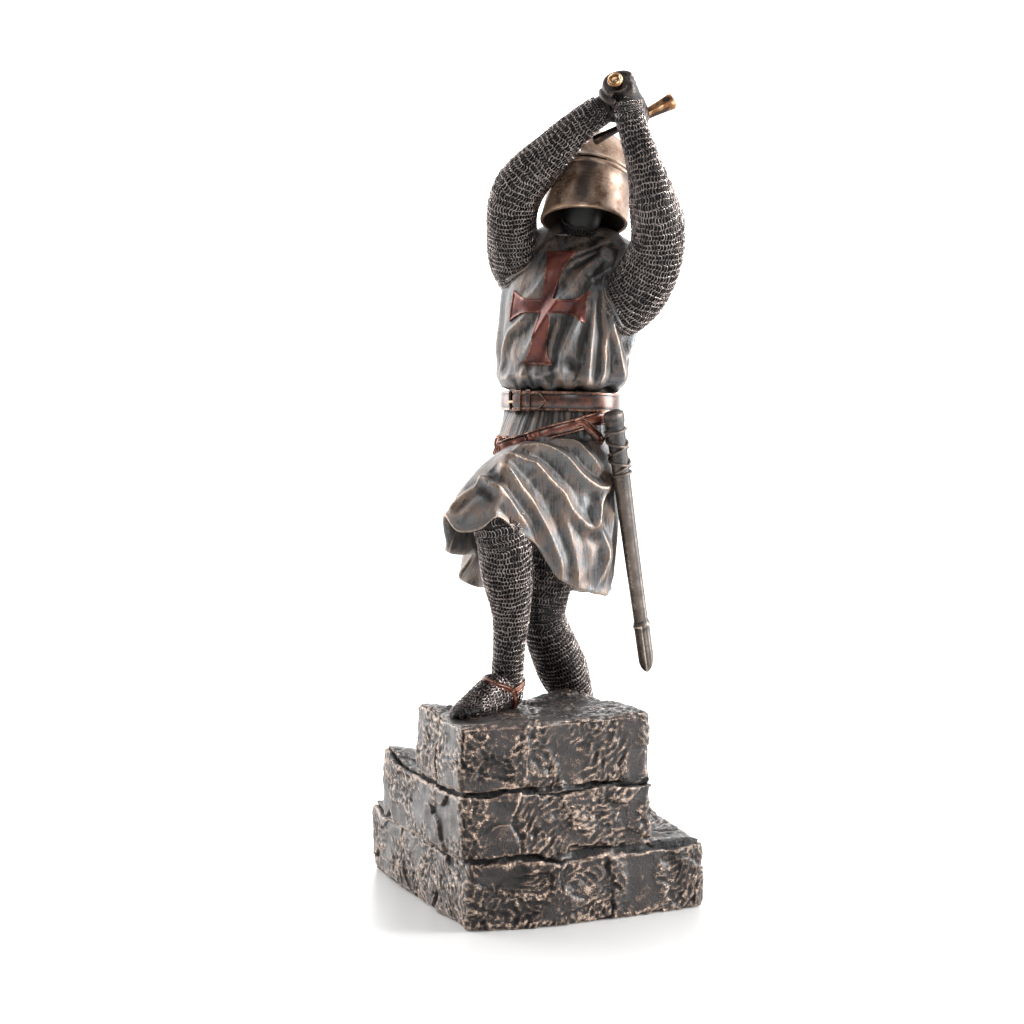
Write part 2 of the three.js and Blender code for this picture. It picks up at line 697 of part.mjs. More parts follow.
// The room that the sword's grip and pommel take in the fists.
function gripChannel() {
  const wide = CLEARANCE;
  return join(
    roundBar(onSword(-1), swordAxis, GRIP_RADIUS + wide, GRIP_LENGTH + POMMEL_THICKNESS + 2),
    roundBar(onSword(-POMMEL_THICKNESS), swordAxis, POMMEL_RADIUS + wide, 2 * POMMEL_THICKNESS + wide),
    roundBar(onSword(guardAt - GUARD_SECTION / 2 - wide), swordAxis, 2 * GUARD_SECTION, GUARD_SECTION + 2 * wide),
  );
}

// Scabbard: hangs at the left hip from the slung strap, with its lashing.
const scabbardTop = at(0.064, -0.165, 0.469);
const scabbardAxis = at(0.153, -0.109, 0.044).sub(scabbardTop).normalize();
const SCABBARD_BOW = 0.025; // how far it bows forward, as a share of its length
function scabbard(extra = 0) {
  const throat = SCABBARD_WIDTH / 2 + extra;
  const flat = SCABBARD_THICKNESS / 2 + extra;
  const forward = new THREE.Vector3().crossVectors(scabbardAxis, hipsLeft).normalize();
  const point = (s, bow) => scabbardTop.clone().addScaledVector(scabbardAxis, s * SCABBARD_LENGTH).addScaledVector(forward, bow * SCABBARD_BOW * SCABBARD_LENGTH);
  const narrowing = [1, 0.98, 0.5 + SCABBARD_TIP / 2, SCABBARD_TIP, 0.8 * SCABBARD_TIP];
  return limb({
    path: [point(0, 0), point(0.25, 0.75), point(0.5, 1), point(0.75, 0.75), point(1, 0)],
    wide: narrowing.map((n) => n * throat),
    deep: narrowing.map((n) => n * flat),
    side: forward,
    around: 12,
    along: 14,
    ends: 0.012,
  });
}

function knight() {
  const cloth = bodice();
  const cross = breastCross().intersect(bodice(CROSS_RELIEF));
  const whole = join(cloth, cross, yoke(), skirtShell(), belts(), legs(), feet(), arms(), hands(), helmShell(), hood());
  return mainBody(whole.subtract(gripChannel()).subtract(scabbard(CLEARANCE)));
}

const bronze = { color: 0x54463c, roughness: 0.42, metalness: 0.7 };
const stoneBronze = { color: 0x4a3f36, roughness: 0.45, metalness: 0.7 };
const swordBronze = { color: 0xa8764a, roughness: 0.32, metalness: 0.9 };
const sheathBronze = { color: 0x4f453e, roughness: 0.4, metalness: 0.75 };

const statue = new THREE.Group();
statue.add(
  meshOf("plinth", plinth(), stoneBronze),
  meshOf("knight", knight(), bronze),
  meshOf("sword", sword(), swordBronze),
  meshOf("scabbard", scabbard(), sheathBronze),
);
export default statue;
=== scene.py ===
"""Looks of a cast knight figurine: mail, helm and surcoat in patinated bronze, on three rough courses."""

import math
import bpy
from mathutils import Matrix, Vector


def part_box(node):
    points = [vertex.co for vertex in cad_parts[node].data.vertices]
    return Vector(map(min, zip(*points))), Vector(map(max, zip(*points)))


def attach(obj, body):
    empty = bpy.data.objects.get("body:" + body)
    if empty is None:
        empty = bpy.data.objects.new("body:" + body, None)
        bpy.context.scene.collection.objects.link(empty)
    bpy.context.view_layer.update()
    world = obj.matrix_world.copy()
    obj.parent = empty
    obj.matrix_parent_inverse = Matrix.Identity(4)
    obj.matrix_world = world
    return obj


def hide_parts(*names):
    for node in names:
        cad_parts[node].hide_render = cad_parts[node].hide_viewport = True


bl_info = {
    "name": "Cast knight figurine",
    "version": (1, 0, 0),
    "blender": (4, 5, 0),
    "location": "3D View > Sidebar > Knight",
    "description": "Models the figurine's visible pieces, their patina and the studio around them",
    "category": "Add Mesh",
}

import bpy
import numpy as np
from bpy.props import FloatProperty, FloatVectorProperty, PointerProperty
from bpy.types import Operator, Panel, PropertyGroup
from mathutils import Matrix, Vector, noise
from mathutils.bvhtree import BVHTree

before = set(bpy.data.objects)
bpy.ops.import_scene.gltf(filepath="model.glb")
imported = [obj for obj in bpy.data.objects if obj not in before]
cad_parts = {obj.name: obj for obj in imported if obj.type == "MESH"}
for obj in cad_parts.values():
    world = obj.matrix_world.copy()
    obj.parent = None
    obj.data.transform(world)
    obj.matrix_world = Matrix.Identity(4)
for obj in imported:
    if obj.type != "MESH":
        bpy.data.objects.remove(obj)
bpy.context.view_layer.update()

MM = 0.001
TURN = 2 * math.pi

# The figure's places, as in the solid model

HEIGHT = 258 * MM  # upper step to the top of the fists
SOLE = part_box("plinth")[1].z + 0.3 * MM  # right foot, on the upper course
REAR_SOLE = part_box("knight")[0].z  # left foot, on the middle course
STANCE = np.array([0.0, 0.0, SOLE])
Z = np.array([0.0, 0.0, 1.0])


def at(x, y, z):
    """A place given in shares of the figure's height from where it stands."""
    return STANCE + HEIGHT * np.array([x, y, z])


def along(degrees):
    """A level direction, in degrees from +X."""
    return np.array([math.cos(math.radians(degrees)), math.sin(math.radians(degrees)), 0.0])


def unit(v):
    return v / np.maximum(np.linalg.norm(v, axis=-1, keepdims=True), 1e-12)


# Voxels of the remeshed pieces, as fine as their relief needs
ROCK_VOXEL, CLOTH_VOXEL, GLOVE_VOXEL = 0.74 * MM, 0.64 * MM, 0.38 * MM

HIPS_FACE, CHEST_FACES = 213, 223
HIPS_LEFT, CHEST_LEFT = along(HIPS_FACE + 90), along(CHEST_FACES + 90)
CHEST_FRONT = along(CHEST_FACES)
HIPS, WAIST = at(0.023, -0.046, 0.421), at(0.025, -0.046, 0.479)
RIGHT_WRIST, LEFT_WRIST = (0.046, -0.144, 0.9265), (0.071, -0.2025, 0.92)


def through(values, t):
    """A value that passes smoothly through even steps, for t from 0 to 1."""
    values = np.asarray(values, float)
    last = len(values) - 1
    place = np.clip(t, 0, 1) * last
    i = np.minimum(np.floor(place).astype(int), last - 1)
    f = place - i
    if values.ndim > 1:
        f = f[..., None]
    a, b, c, d = (values[np.clip(i + k, 0, last)] for k in (-1, 0, 1, 2))
    return b + 0.5 * f * (c - a + f * (2 * a - 5 * b + 4 * c - d + f * (3 * (b - c) + d - a)))


def curve_points(path, t):
    """Points of the smooth curve through path's points, at shares t of its course."""
    path = np.asarray(path, float)
    padded = np.vstack([2 * path[0] - path[1], path, 2 * path[-1] - path[-2]])
    last = len(path) - 1
    place = np.clip(t, 0, 1) * last
    i = np.minimum(np.floor(place).astype(int), last - 1)
    f = (place - i)[..., None]
    x0, x1, x2, x3 = (padded[i + k] for k in range(4))
    d0, d1, d2 = (
        np.sqrt(np.linalg.norm(b - a, axis=-1, keepdims=True))
        for a, b in ((x0, x1), (x1, x2), (x2, x3))
    )
    t1 = ((x1 - x0) / d0 - (x2 - x0) / (d0 + d1) + (x2 - x1) / d1) * d1
    t2 = ((x2 - x1) / d1 - (x3 - x1) / (d1 + d2) + (x3 - x2) / d2) * d1
    return x1 + f * (t1 + f * (3 * (x2 - x1) - 2 * t1 - t2 + f * (2 * (x1 - x2) + t1 + t2)))


class Limb:
    """An oval tube along a smooth curve: `wide` along its side vector, `deep` across it, in shares."""

    def __init__(self, path, wide, deep, side, ends=0.05):
        self.path = np.array([p if isinstance(p, np.ndarray) else at(*p) for p in path])
        self.wide, self.deep = np.array(wide) * HEIGHT, np.array(deep) * HEIGHT
        self.side, self.ends = side, ends

    def frame(self, t):
        ahead, behind = (curve_points(self.path, np.clip(t + e, 0, 1)) for e in (1e-4, -1e-4))
        tangent = unit(ahead - behind)
        across = unit(self.side - tangent * (tangent @ self.side)[..., None])
        return curve_points(self.path, t), tangent, across, np.cross(tangent, across)

    def surface(self, angle, t, lift=0.0, wider=0.0):
        """Points at an angle round the limb and a share t along it, raised by lift and wider."""
        centre, _, across, outward = self.frame(t)
        near_end = np.clip(np.minimum(t, 1 - t) / self.ends, 0, 1)
        shut = np.sqrt(np.clip(1 - (1 - near_end) ** 2, 0, 1))
        wide = shut * (through(self.wide, t) + lift + wider)
        deep = shut * (through(self.deep, t) + lift + wider)
        spread = across * (np.cos(angle) * wide)[..., None]
        return centre + spread + outward * (np.sin(angle) * deep)[..., None]

    def rows(self, around, count, lift=None, wider=0.0):
        """Rings of points from one end to the other, closer together where the ends round off."""
        s = np.linspace(0, 1, count)
        cap = 0.12  # share of the rows that each rounded end takes
        t = np.interp(s, [0, cap, 1 - cap, 1], [0, self.ends, 1 - self.ends, 1])
        t = np.where(s < cap, self.ends * (s / cap) ** 2, t)
        t = np.where(s > 1 - cap, 1 - self.ends * ((1 - s) / cap) ** 2, t)
        angle, t = np.meshgrid(np.arange(around) / around * TURN, t)
        return self.surface(angle, t, 0.0 if lift is None else lift(angle, t), wider)


BODICE = Limb(
    [
        (0.023, -0.044, 0.45), (0.025, -0.045, 0.5), (0.029, -0.046, 0.545), (0.036, -0.044, 0.6),
        (0.044, -0.041, 0.655), (0.058, -0.041, 0.705), (0.074, -0.041, 0.752),
    ],
    [0.08, 0.098, 0.109, 0.11, 0.108, 0.088, 0.04],
    [0.06, 0.072, 0.082, 0.081, 0.079, 0.062, 0.038],
    CHEST_LEFT,
    0.06,
)
YOKE = Limb(
    [(-0.022, -0.002, 0.685), (0.03, -0.026, 0.716), (0.078, -0.062, 0.712), (0.118, -0.118, 0.668)],
    [0.045, 0.05, 0.05, 0.05],
    [0.04, 0.036, 0.036, 0.045],
    Z,
    0.12,
)
RIGHT_ARM = Limb(
    [
        (0.02, -0.012, 0.66), (-0.018, 0.008, 0.694), (-0.044, -0.016, 0.752), (-0.054, -0.064, 0.812),
        (-0.008, -0.11, 0.8735), RIGHT_WRIST, (0.068, -0.158, 0.94),
    ],
    [0.06, 0.052, 0.042, 0.04, 0.0305, 0.0252, 0.0255],
    [0.05, 0.046, 0.042, 0.039, 0.0295, 0.0252, 0.0255],
    CHEST_LEFT,
)
LEFT_ARM = Limb(
    [
        (0.075, -0.07, 0.61), (0.118, -0.128, 0.65), (0.13, -0.178, 0.715), (0.113, -0.208, 0.78),
        (0.094, -0.209, 0.85), LEFT_WRIST, (0.066, -0.204, 0.95),
    ],
    [0.06, 0.05, 0.043, 0.04, 0.0285, 0.0235, 0.029],
    [0.055, 0.05, 0.042, 0.04, 0.0285, 0.0215, 0.0225],
    along(CHEST_FACES),
)
RIGHT_LEG = Limb(
    [
        (0.0, -0.012, 0.39), (-0.07, -0.085, 0.352), (-0.119, -0.146, 0.312), (-0.108, -0.142, 0.271),
        (-0.094, -0.12, 0.213), (-0.081, -0.101, 0.154), (-0.078, -0.086, 0.095), (-0.076, -0.074, 0.049),
        (-0.074, -0.07, 0.016),
    ],
    [0.052, 0.05, 0.044, 0.0435, 0.0405, 0.0305, 0.0255, 0.0255, 0.026],
    [0.052, 0.05, 0.044, 0.0435, 0.0405, 0.0315, 0.027, 0.027, 0.027],
    HIPS_LEFT,
    0.04,
)
LEFT_LEG = Limb(
    [
        (0.045, -0.08, 0.39), (0.02, -0.055, 0.27), (0.004, -0.036, 0.165), (0.003, -0.032, 0.132),
        (0.026, -0.014, 0.086), (0.054, 0.006, 0.039), (0.077, 0.02, -0.001), (0.093, 0.024, -0.047),
        (0.097, 0.024, -0.08),
    ],
    [0.052, 0.047, 0.037, 0.036, 0.0395, 0.042, 0.0335, 0.027, 0.027],
    [0.052, 0.048, 0.038, 0.037, 0.0395, 0.041, 0.0335, 0.027, 0.027],
    HIPS_LEFT,
    0.04,
)


def foot_limb(heel, toes, sole):
    heel, toes = at(*heel), at(*toes)
    steps = [(0, 0.016), (0.2, 0.022), (0.42, 0.022), (0.72, 0.011), (0.9, 0.006), (1, 0.005)]
    path = [np.append((heel + s * (toes - heel))[:2], sole + h * HEIGHT) for s, h in steps]
    side = unit(np.cross(Z, toes - heel))
    wide, deep = [0.018, 0.0215, 0.024, 0.0265, 0.02, 0.012], [0.022, 0.03, 0.034, 0.021, 0.014, 0.01]
    return Limb(path, wide, deep, side, 0.14)


RIGHT_FOOT = foot_limb((-0.05, -0.058, 0), (-0.194, -0.15, 0), SOLE)
LEFT_FOOT = foot_limb((0.122, 0.024, 0), (-0.025, 0.036, 0), REAR_SOLE)

HELM_RIM = at(0.0495, -0.09, 0.775)
HELM_UP = unit(at(0.089, -0.055, 0.9) - HELM_RIM)
HELM_FACE = 218
HELM_LOW = 178  # direction in which the helm's rim hangs lowest

HOOD = Limb(
    [
        at(0.056, -0.045, 0.69), at(0.058, -0.041, 0.743), at(0.053, -0.069, 0.768),
        HELM_RIM + HELM_UP * 0.085 * HEIGHT,
    ],
    [0.03, 0.029, 0.034, 0.045],
    [0.03, 0.029, 0.034, 0.045],
    CHEST_LEFT,
    0.12,
)

# Sword line, from the pommel over the left shoulder
POMMEL_END = at(0.035, -0.229, 0.969)
SWORD_AXIS = unit(np.array([0.592, 0.652, -0.474]))
GUARD_AXIS = np.array([0.79, -0.4, 0.44])
GUARD_AXIS = unit(GUARD_AXIS - SWORD_AXIS * (GUARD_AXIS @ SWORD_AXIS))
POMMEL_THICK, GRIP_LENGTH = 3.4 * MM, 27 * MM


def on_sword(distance):
    return POMMEL_END + SWORD_AXIS * distance


SCABBARD_TOP = at(0.064, -0.165, 0.469)
SCABBARD_AXIS = unit(at(0.153, -0.109, 0.044) - SCABBARD_TOP)
SCABBARD_FORWARD = unit(np.cross(SCABBARD_AXIS, HIPS_LEFT))
SCABBARD_LENGTH = 112 * MM
SHEATH = Limb(
    [
        SCABBARD_TOP + SCABBARD_AXIS * s * SCABBARD_LENGTH + SCABBARD_FORWARD * b * 0.025 * SCABBARD_LENGTH
        for s, b in ((0, 0), (0.5, 0.1), (1, 0))
    ],
    np.array([1.1, 0.95, 0.82]) * 4.5 * MM / HEIGHT,
    np.array([1.2, 1.02, 0.94]) * 3.1 * MM / HEIGHT,
    SCABBARD_FORWARD,
    0.012,
)

# Skirt, in shares of the height: its top under the belt, then by direction the reach and level of its
# shoulder and of its hem
SKIRT_TOP_REACH, SKIRT_TOP = 0.097, 0.424
SKIRT_GUIDES = np.array(
    [
        [30, 0.103, 0.31, 0.112, 0.166],
        [100, 0.108, 0.315, 0.136, 0.166],
        [135, 0.11, 0.325, 0.155, 0.181],
        [150, 0.112, 0.335, 0.16, 0.195],
        [163, 0.117, 0.342, 0.146, 0.226],
        [174, 0.128, 0.35, 0.142, 0.243],
        [181, 0.139, 0.36, 0.166, 0.243],
        [187, 0.15, 0.37, 0.196, 0.248],
        [194, 0.164, 0.382, 0.216, 0.262],
        [203, 0.19, 0.392, 0.25, 0.312],
        [212, 0.205, 0.41, 0.262, 0.291],
        [218, 0.21, 0.425, 0.243, 0.292],
        [223, 0.21, 0.432, 0.222, 0.31],
        [228, 0.198, 0.434, 0.19, 0.287],
        [234, 0.182, 0.436, 0.15, 0.264],
        [248, 0.158, 0.425, 0.128, 0.209],
        [284, 0.13, 0.356, 0.109, 0.18],
        [338, 0.1, 0.33, 0.076, 0.186],
    ]
)


def guided(column, degrees):
    """A column of the skirt's guides at any direction, smooth all the way round."""
    rows = np.vstack([SKIRT_GUIDES + [360 * k, 0, 0, 0, 0] for k in (-1, 0, 1, 2)])
    x, y = rows[:, 0], rows[:, column]
    i = np.searchsorted(x, degrees, side="right") - 1
    span = x[i + 1] - x[i]
    leave = span * (y[i + 1] - y[i - 1]) / (x[i + 1] - x[i - 1])
    arrive = span * (y[i + 2] - y[i]) / (x[i + 2] - x[i])
    f = (degrees - x[i]) / span
    ends = y[i] * (1 + 2 * f) * (1 - f) ** 2 + y[i + 1] * f * f * (3 - 2 * f)
    return ends + leave * f * (1 - f) ** 2 - arrive * f * f * (1 - f)


def skirt_surface(degrees, t):
    """The skirt's outer face without its folds, from under the belt (0) to the hem (1)."""
    reach, height, hem_reach, hem_height = (guided(column, degrees) for column in (1, 2, 3, 4))

    def fall(top, middle, hem):
        return top * (1 - t) ** 2 + 2 * middle * t * (1 - t) + hem * t * t

    r = HEIGHT * fall(SKIRT_TOP_REACH, reach, hem_reach)
    a = np.radians(degrees)
    z = SOLE + HEIGHT * fall(SKIRT_TOP, height, hem_height)
    return np.stack(np.broadcast_arrays(HIPS[0] + r * np.cos(a), HIPS[1] + r * np.sin(a), z), -1)


# Mesh tools


def deselect():
    if bpy.context.object and bpy.context.object.mode != "OBJECT":
        bpy.ops.object.mode_set(mode="OBJECT")
    bpy.ops.object.select_all(action="DESELECT")


def make_active(obj):
    deselect()
    obj.select_set(True)
    bpy.context.view_layer.objects.active = obj


def new_piece(name, points, faces, edges=()):
    mesh = bpy.data.meshes.new(name)
    mesh.from_pydata(np.asarray(points, float).reshape(-1, 3).tolist(), edges, [tuple(f) for f in faces])
    mesh.update()
    obj = bpy.data.objects.new(name, mesh)
    bpy.context.scene.collection.objects.link(obj)
    return obj


def loft(name, rows, loop=False):
    """A closed skin over rings of points: fans shut its ends, or with loop the last ring meets the first."""
    rows = np.asarray(rows, float)
    count, around = rows.shape[:2]
    points = rows.reshape(-1, 3)
    j = np.arange(around)
    k = (j + 1) % around
    faces = []
    for i in range(count if loop else count - 1):
        a, b = i * around, (i + 1) % count * around
        faces.append(np.stack([a + j, a + k, b + k, b + j], -1))
    quads = np.vstack(faces)
    p, q, r, t = (points[quads[:, k]] for k in range(4))
    volume = np.einsum("ij,ij->i", p, np.cross(q, r) + np.cross(r, t)).sum()
    faces = quads.tolist()
    if not loop:
        first, last = len(points), len(points) + 1
        points = np.vstack([points, rows[0].mean(0), rows[-1].mean(0)])
        faces += [(first, int(b), int(a)) for a, b in zip(j, k)]
        faces += [(last, int((count - 1) * around + a), int((count - 1) * around + b)) for a, b in zip(j, k)]
    if volume < 0:
        faces = [tuple(reversed(f)) for f in faces]
    return new_piece(name, points, faces)


def bell(values, middle, width, power=2):
    """1 where values are at the middle, falling to nothing over a width on both sides."""
    return np.exp(-(((values - middle) / width) ** power))


def coordinates(obj):
    co = np.zeros(len(obj.data.vertices) * 3, np.float32)
    obj.data.vertices.foreach_get("co", co)
    return co.reshape(-1, 3).astype(float)


def normals(obj):
    n = np.zeros(len(obj.data.vertices) * 3, np.float32)
    obj.data.vertex_normals.foreach_get("vector", n)
    return n.reshape(-1, 3).astype(float)


def move_points(obj, co):
    obj.data.vertices.foreach_set("co", np.asarray(co, np.float32).ravel())
    obj.data.update()


def apply_modifier(obj, kind, **settings):
    make_active(obj)
    modifier = obj.modifiers.new(kind.lower(), kind)
    for key, value in settings.items():
        setattr(modifier, key, value)
    bpy.ops.object.modifier_apply(modifier=modifier.name)
    return obj


def in_edit_mode(obj, *steps):
    """Runs mesh operators, each with its settings, on the whole of a piece."""
    make_active(obj)
    bpy.ops.object.mode_set(mode="EDIT")
    bpy.ops.mesh.select_all(action="SELECT")
    for operator, settings in steps:
        getattr(bpy.ops.mesh, operator)(**settings)
    bpy.ops.object.mode_set(mode="OBJECT")


def clean(obj, distance=0.01 * MM):
    """Welds doubled points and turns the faces outwards."""
    in_edit_mode(
        obj, ("remove_doubles", {"threshold": distance}), ("normals_make_consistent", {"inside": False}),
    )
    return obj


def joined(name, pieces):
    make_active(pieces[0])
    for piece in pieces[1:]:
        piece.select_set(True)
    if len(pieces) > 1:
        bpy.ops.object.join()
    pieces[0].name = pieces[0].data.name = name
    deselect()
    return pieces[0]


def attribute(obj, name, values):
    """Writes a number or a vector for each point of a mesh, or one number for all of them."""
    kind, field = ("FLOAT_VECTOR", "vector") if np.ndim(values) == 2 else ("FLOAT", "value")
    if np.ndim(values) == 0:
        values = np.full(len(obj.data.vertices), values)
    found = obj.data.attributes.get(name) or obj.data.attributes.new(name, kind, "POINT")
    found.data.foreach_set(field, np.asarray(values, np.float32).ravel())


def values_of(obj, name="wear_and_light"):
    values = np.zeros(len(obj.data.vertices), np.float32)
    obj.data.attributes[name].data.foreach_get("value", values)
    return values


def grain_of(obj, centre, radius):
    """Keeps where each point lies across and along the cloth, in metres, for streaks that follow its fall."""
    co = coordinates(obj)
    x, y = co[:, 0] - centre[0], co[:, 1] - centre[1]
    across = np.abs(np.arctan2(y, x)) * radius
    attribute(obj, "grain", np.stack([across, np.hypot(x, y) - co[:, 2], 0 * x], -1))


def neighbours(obj):
    edges = np.zeros(len(obj.data.edges) * 2, np.int32)
    obj.data.edges.foreach_get("vertices", edges)
    edges = edges.reshape(-1, 2)
    count = np.maximum(np.bincount(edges.ravel(), minlength=len(obj.data.vertices)), 1)
    return edges[:, 0], edges[:, 1], count


def spread(values, links, times):
    """Values averaged with their neighbours' a number of times."""
    a, b, count = links
    for _ in range(times):
        sums = np.bincount(a, values[b], len(count)) + np.bincount(b, values[a], len(count))
        values = 0.4 * values + 0.6 * sums / count
    return values


def rub(obj, plain, fine=0.16, broad=0.26, reach=6, soft=1):
    """Writes the wear attribute from a mesh's bend: near 1 on the crests that hands rub, 0 in hollows."""
    co, n = coordinates(obj), normals(obj)
    a, b, count = links = neighbours(obj)
    step = co[b] - co[a]
    length2 = np.maximum((step**2).sum(1), 1e-12)
    toward_a = (step * n[a]).sum(1) / length2
    toward_b = -(step * n[b]).sum(1) / length2
    bend = -2 * (np.bincount(a, toward_a, len(count)) + np.bincount(b, toward_b, len(count))) / count * MM
    close = spread(bend, links, soft)
    wide = spread(bend, links, reach)
    detail = close - wide
    wide = wide - np.median(wide)
    wear_and_light = plain + fine * np.tanh(detail / np.percentile(abs(detail), 80))
    wear_and_light = wear_and_light + broad * np.tanh(wide / np.percentile(abs(wide), 80))
    attribute(obj, "wear_and_light", np.clip(wear_and_light, 0, 1))
    return obj


def finish(obj, material, smooth=None):
    """Gives a piece its material, smooths it and lets it ride on the statue."""
    obj.data.materials.clear()
    obj.data.materials.append(material)
    make_active(obj)
    if smooth is None:
        bpy.ops.object.shade_smooth()
    else:
        bpy.ops.object.shade_smooth_by_angle(angle=math.radians(smooth))
    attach(obj, "root")
    deselect()
    return obj


def place_on_axis(obj, origin, up, right):
    """Moves a mesh built on +Z so that +Z lies along `up` and +X near `right`."""
    z = unit(up)
    y = unit(np.cross(z, right))
    x = np.cross(y, z)
    move_points(obj, origin + coordinates(obj) @ np.array([x, y, z]))
    return obj


def spun(name, profile, steps):
    """Turns a profile of (radius, height) about +Z, as on a lathe."""
    obj = new_piece(
        name, [(r, 0.0, z) for r, z in profile], [], [(i, i + 1) for i in range(len(profile) - 1)],
    )
    in_edit_mode(obj, ("spin", {"steps": steps, "angle": TURN, "center": (0, 0, 0), "axis": (0, 0, 1)}))
    return clean(obj)


def ribbon(name, points, faces_out, width, thick, loop=True):
    """A flat strap with rounded edges and a raised edge line, laid along points and facing faces_out."""
    points, out = np.asarray(points, float), unit(np.asarray(faces_out, float))
    if loop:
        ahead = np.roll(points, -1, 0) - np.roll(points, 1, 0)
    else:
        ahead = np.gradient(points, axis=0)
    side = unit(np.cross(unit(ahead), out))
    out = np.cross(side, unit(ahead))
    width = np.broadcast_to(width, len(points))[:, None]
    # Half of the section, in shares of width and thickness: rounded edge, raised line, flat middle
    half = [(-0.5, 0), (-0.5, 0.7), (-0.46, 1), (-0.37, 1), (-0.33, 0.7), (-0.2, 0.94)]
    section = [(u, v * thick) for u, v in half + [(-u, v) for u, v in reversed(half)] + [(0.0, -0.2)]]
    rows = np.stack([points + side * width * u + out * v for u, v in section], 1)
    return loft(name, rows, loop)


def evened(places, times):
    """A course of points with its bends eased a number of times, its ends held."""
    places = np.array(places)
    for _ in range(times):
        places[1:-1] = 0.5 * places[1:-1] + 0.25 * (places[2:] + places[:-2])
    return places


def cord(name, points, radius, around=8, loop=False):
    """A round bar through points, with rounded ends unless it closes on itself."""
    points = np.asarray(points, float)
    ahead = unit(np.roll(points, -1, 0) - np.roll(points, 1, 0) if loop else np.gradient(points, axis=0))
    side = unit(np.cross(ahead, np.where(np.abs(ahead[:, 2:3]) > 0.9, [[1.0, 0, 0]], [[0, 0, 1.0]])))
    up = np.cross(side, ahead)
    radius = np.broadcast_to(radius, len(points)).astype(float).copy()
    if not loop:
        radius[[0, -1]] *= 0.55
    angle = np.arange(around) / around * TURN
    ring = side[:, None] * np.cos(angle)[None, :, None] + up[:, None] * np.sin(angle)[None, :, None]
    return loft(name, points[:, None] + radius[:, None, None] * ring, loop)


def noise_at(co, scale, stretch=(1, 1, 1), seed=0.0):
    """Smooth noise between about -1 and 1 at points, its waves `scale` metres long."""
    p = co / scale / np.array(stretch) + seed
    full_swing = 1.6  # plain noise stays within about 0.6
    return np.array([noise.noise(Vector(q)) for q in p]) * full_swing


def fold_lift(co, folds, surface):
    """How far folds raise points; each has a height and width in mm, a sharpness and a course of places."""
    lift = np.zeros(len(co))
    for height, width, sharp, course in folds:
        course = np.array(course, float)
        t = np.linspace(0, 1, 12 * len(course))
        line = surface(through(course[:, 0], t), through(course[:, 1], t))
        near = np.full(len(co), 1e9)
        share = np.zeros(len(co))
        box = (co > line.min(0) - 5 * width * MM).all(1) & (co < line.max(0) + 5 * width * MM).all(1)
        part = co[box]
        inside = np.flatnonzero(box)
        for k in range(len(line) - 1):
            a, ab = line[k], line[k + 1] - line[k]
            f = np.clip(((part - a) @ ab) / max(ab @ ab, 1e-12), 0, 1)
            d = np.linalg.norm(part - a - f[:, None] * ab, axis=1)
            closer = d < near[inside]
            near[inside[closer]] = d[closer]
            share[inside[closer]] = (k + f[closer]) / (len(line) - 1)
        away = near / (width * MM)
        crest = np.exp(-(away**2)) * (1 - sharp) + sharp * np.exp(-away * 1.5)
        trough = 0.3 * bell(away, 2.1, 1.1)
        ends = np.clip(np.minimum(share, 1 - share) * 5 + 0.2, 0, 1)
        lift += height * MM * (crest - trough) * ends
    return lift


# Materials


def linear(hex_colour):
    """An sRGB hex colour as linear RGB."""
    channels = [int(hex_colour[i : i + 2], 16) / 255 for i in (1, 3, 5)]
    return tuple(c / 12.92 if c <= 0.04045 else ((c + 0.055) / 1.055) ** 2.4 for c in channels)


def add_node(tree, kind, inputs=(), out=0, stops=(), **settings):
    """Adds a shader node with its settings, inputs' values or links and a ramp's stops; gives one output."""
    node = tree.nodes.new("ShaderNode" + kind)
    for name, value in settings.items():
        setattr(node, name, value)
    for name, value in inputs.items() if isinstance(inputs, dict) else enumerate(inputs):
        if isinstance(value, bpy.types.NodeSocket):
            tree.links.new(value, node.inputs[name])
        else:
            node.inputs[name].default_value = value
    for i, (place, colour) in enumerate(stops):
        elements = node.color_ramp.elements
        element = elements[i] if i < len(elements) else elements.new(1.0)
        element.position = place
        element.color = (*colour, 1) if isinstance(colour, tuple) else (colour, colour, colour, 1)
    return node.outputs[out] if node.outputs else None


def new_material(name):
    material = bpy.data.materials.new(name)
    material.use_nodes = True
    material.node_tree.nodes.clear()
    return material, material.node_tree


def give_surface(tree, **shader):
    """Ends a material with its surface; the shader's inputs are named with _ for each space."""
    inputs = {name.replace("_", " "): value for name, value in shader.items()}
    add_node(tree, "OutputMaterial", {"Surface": add_node(tree, "BsdfPrincipled", inputs)})


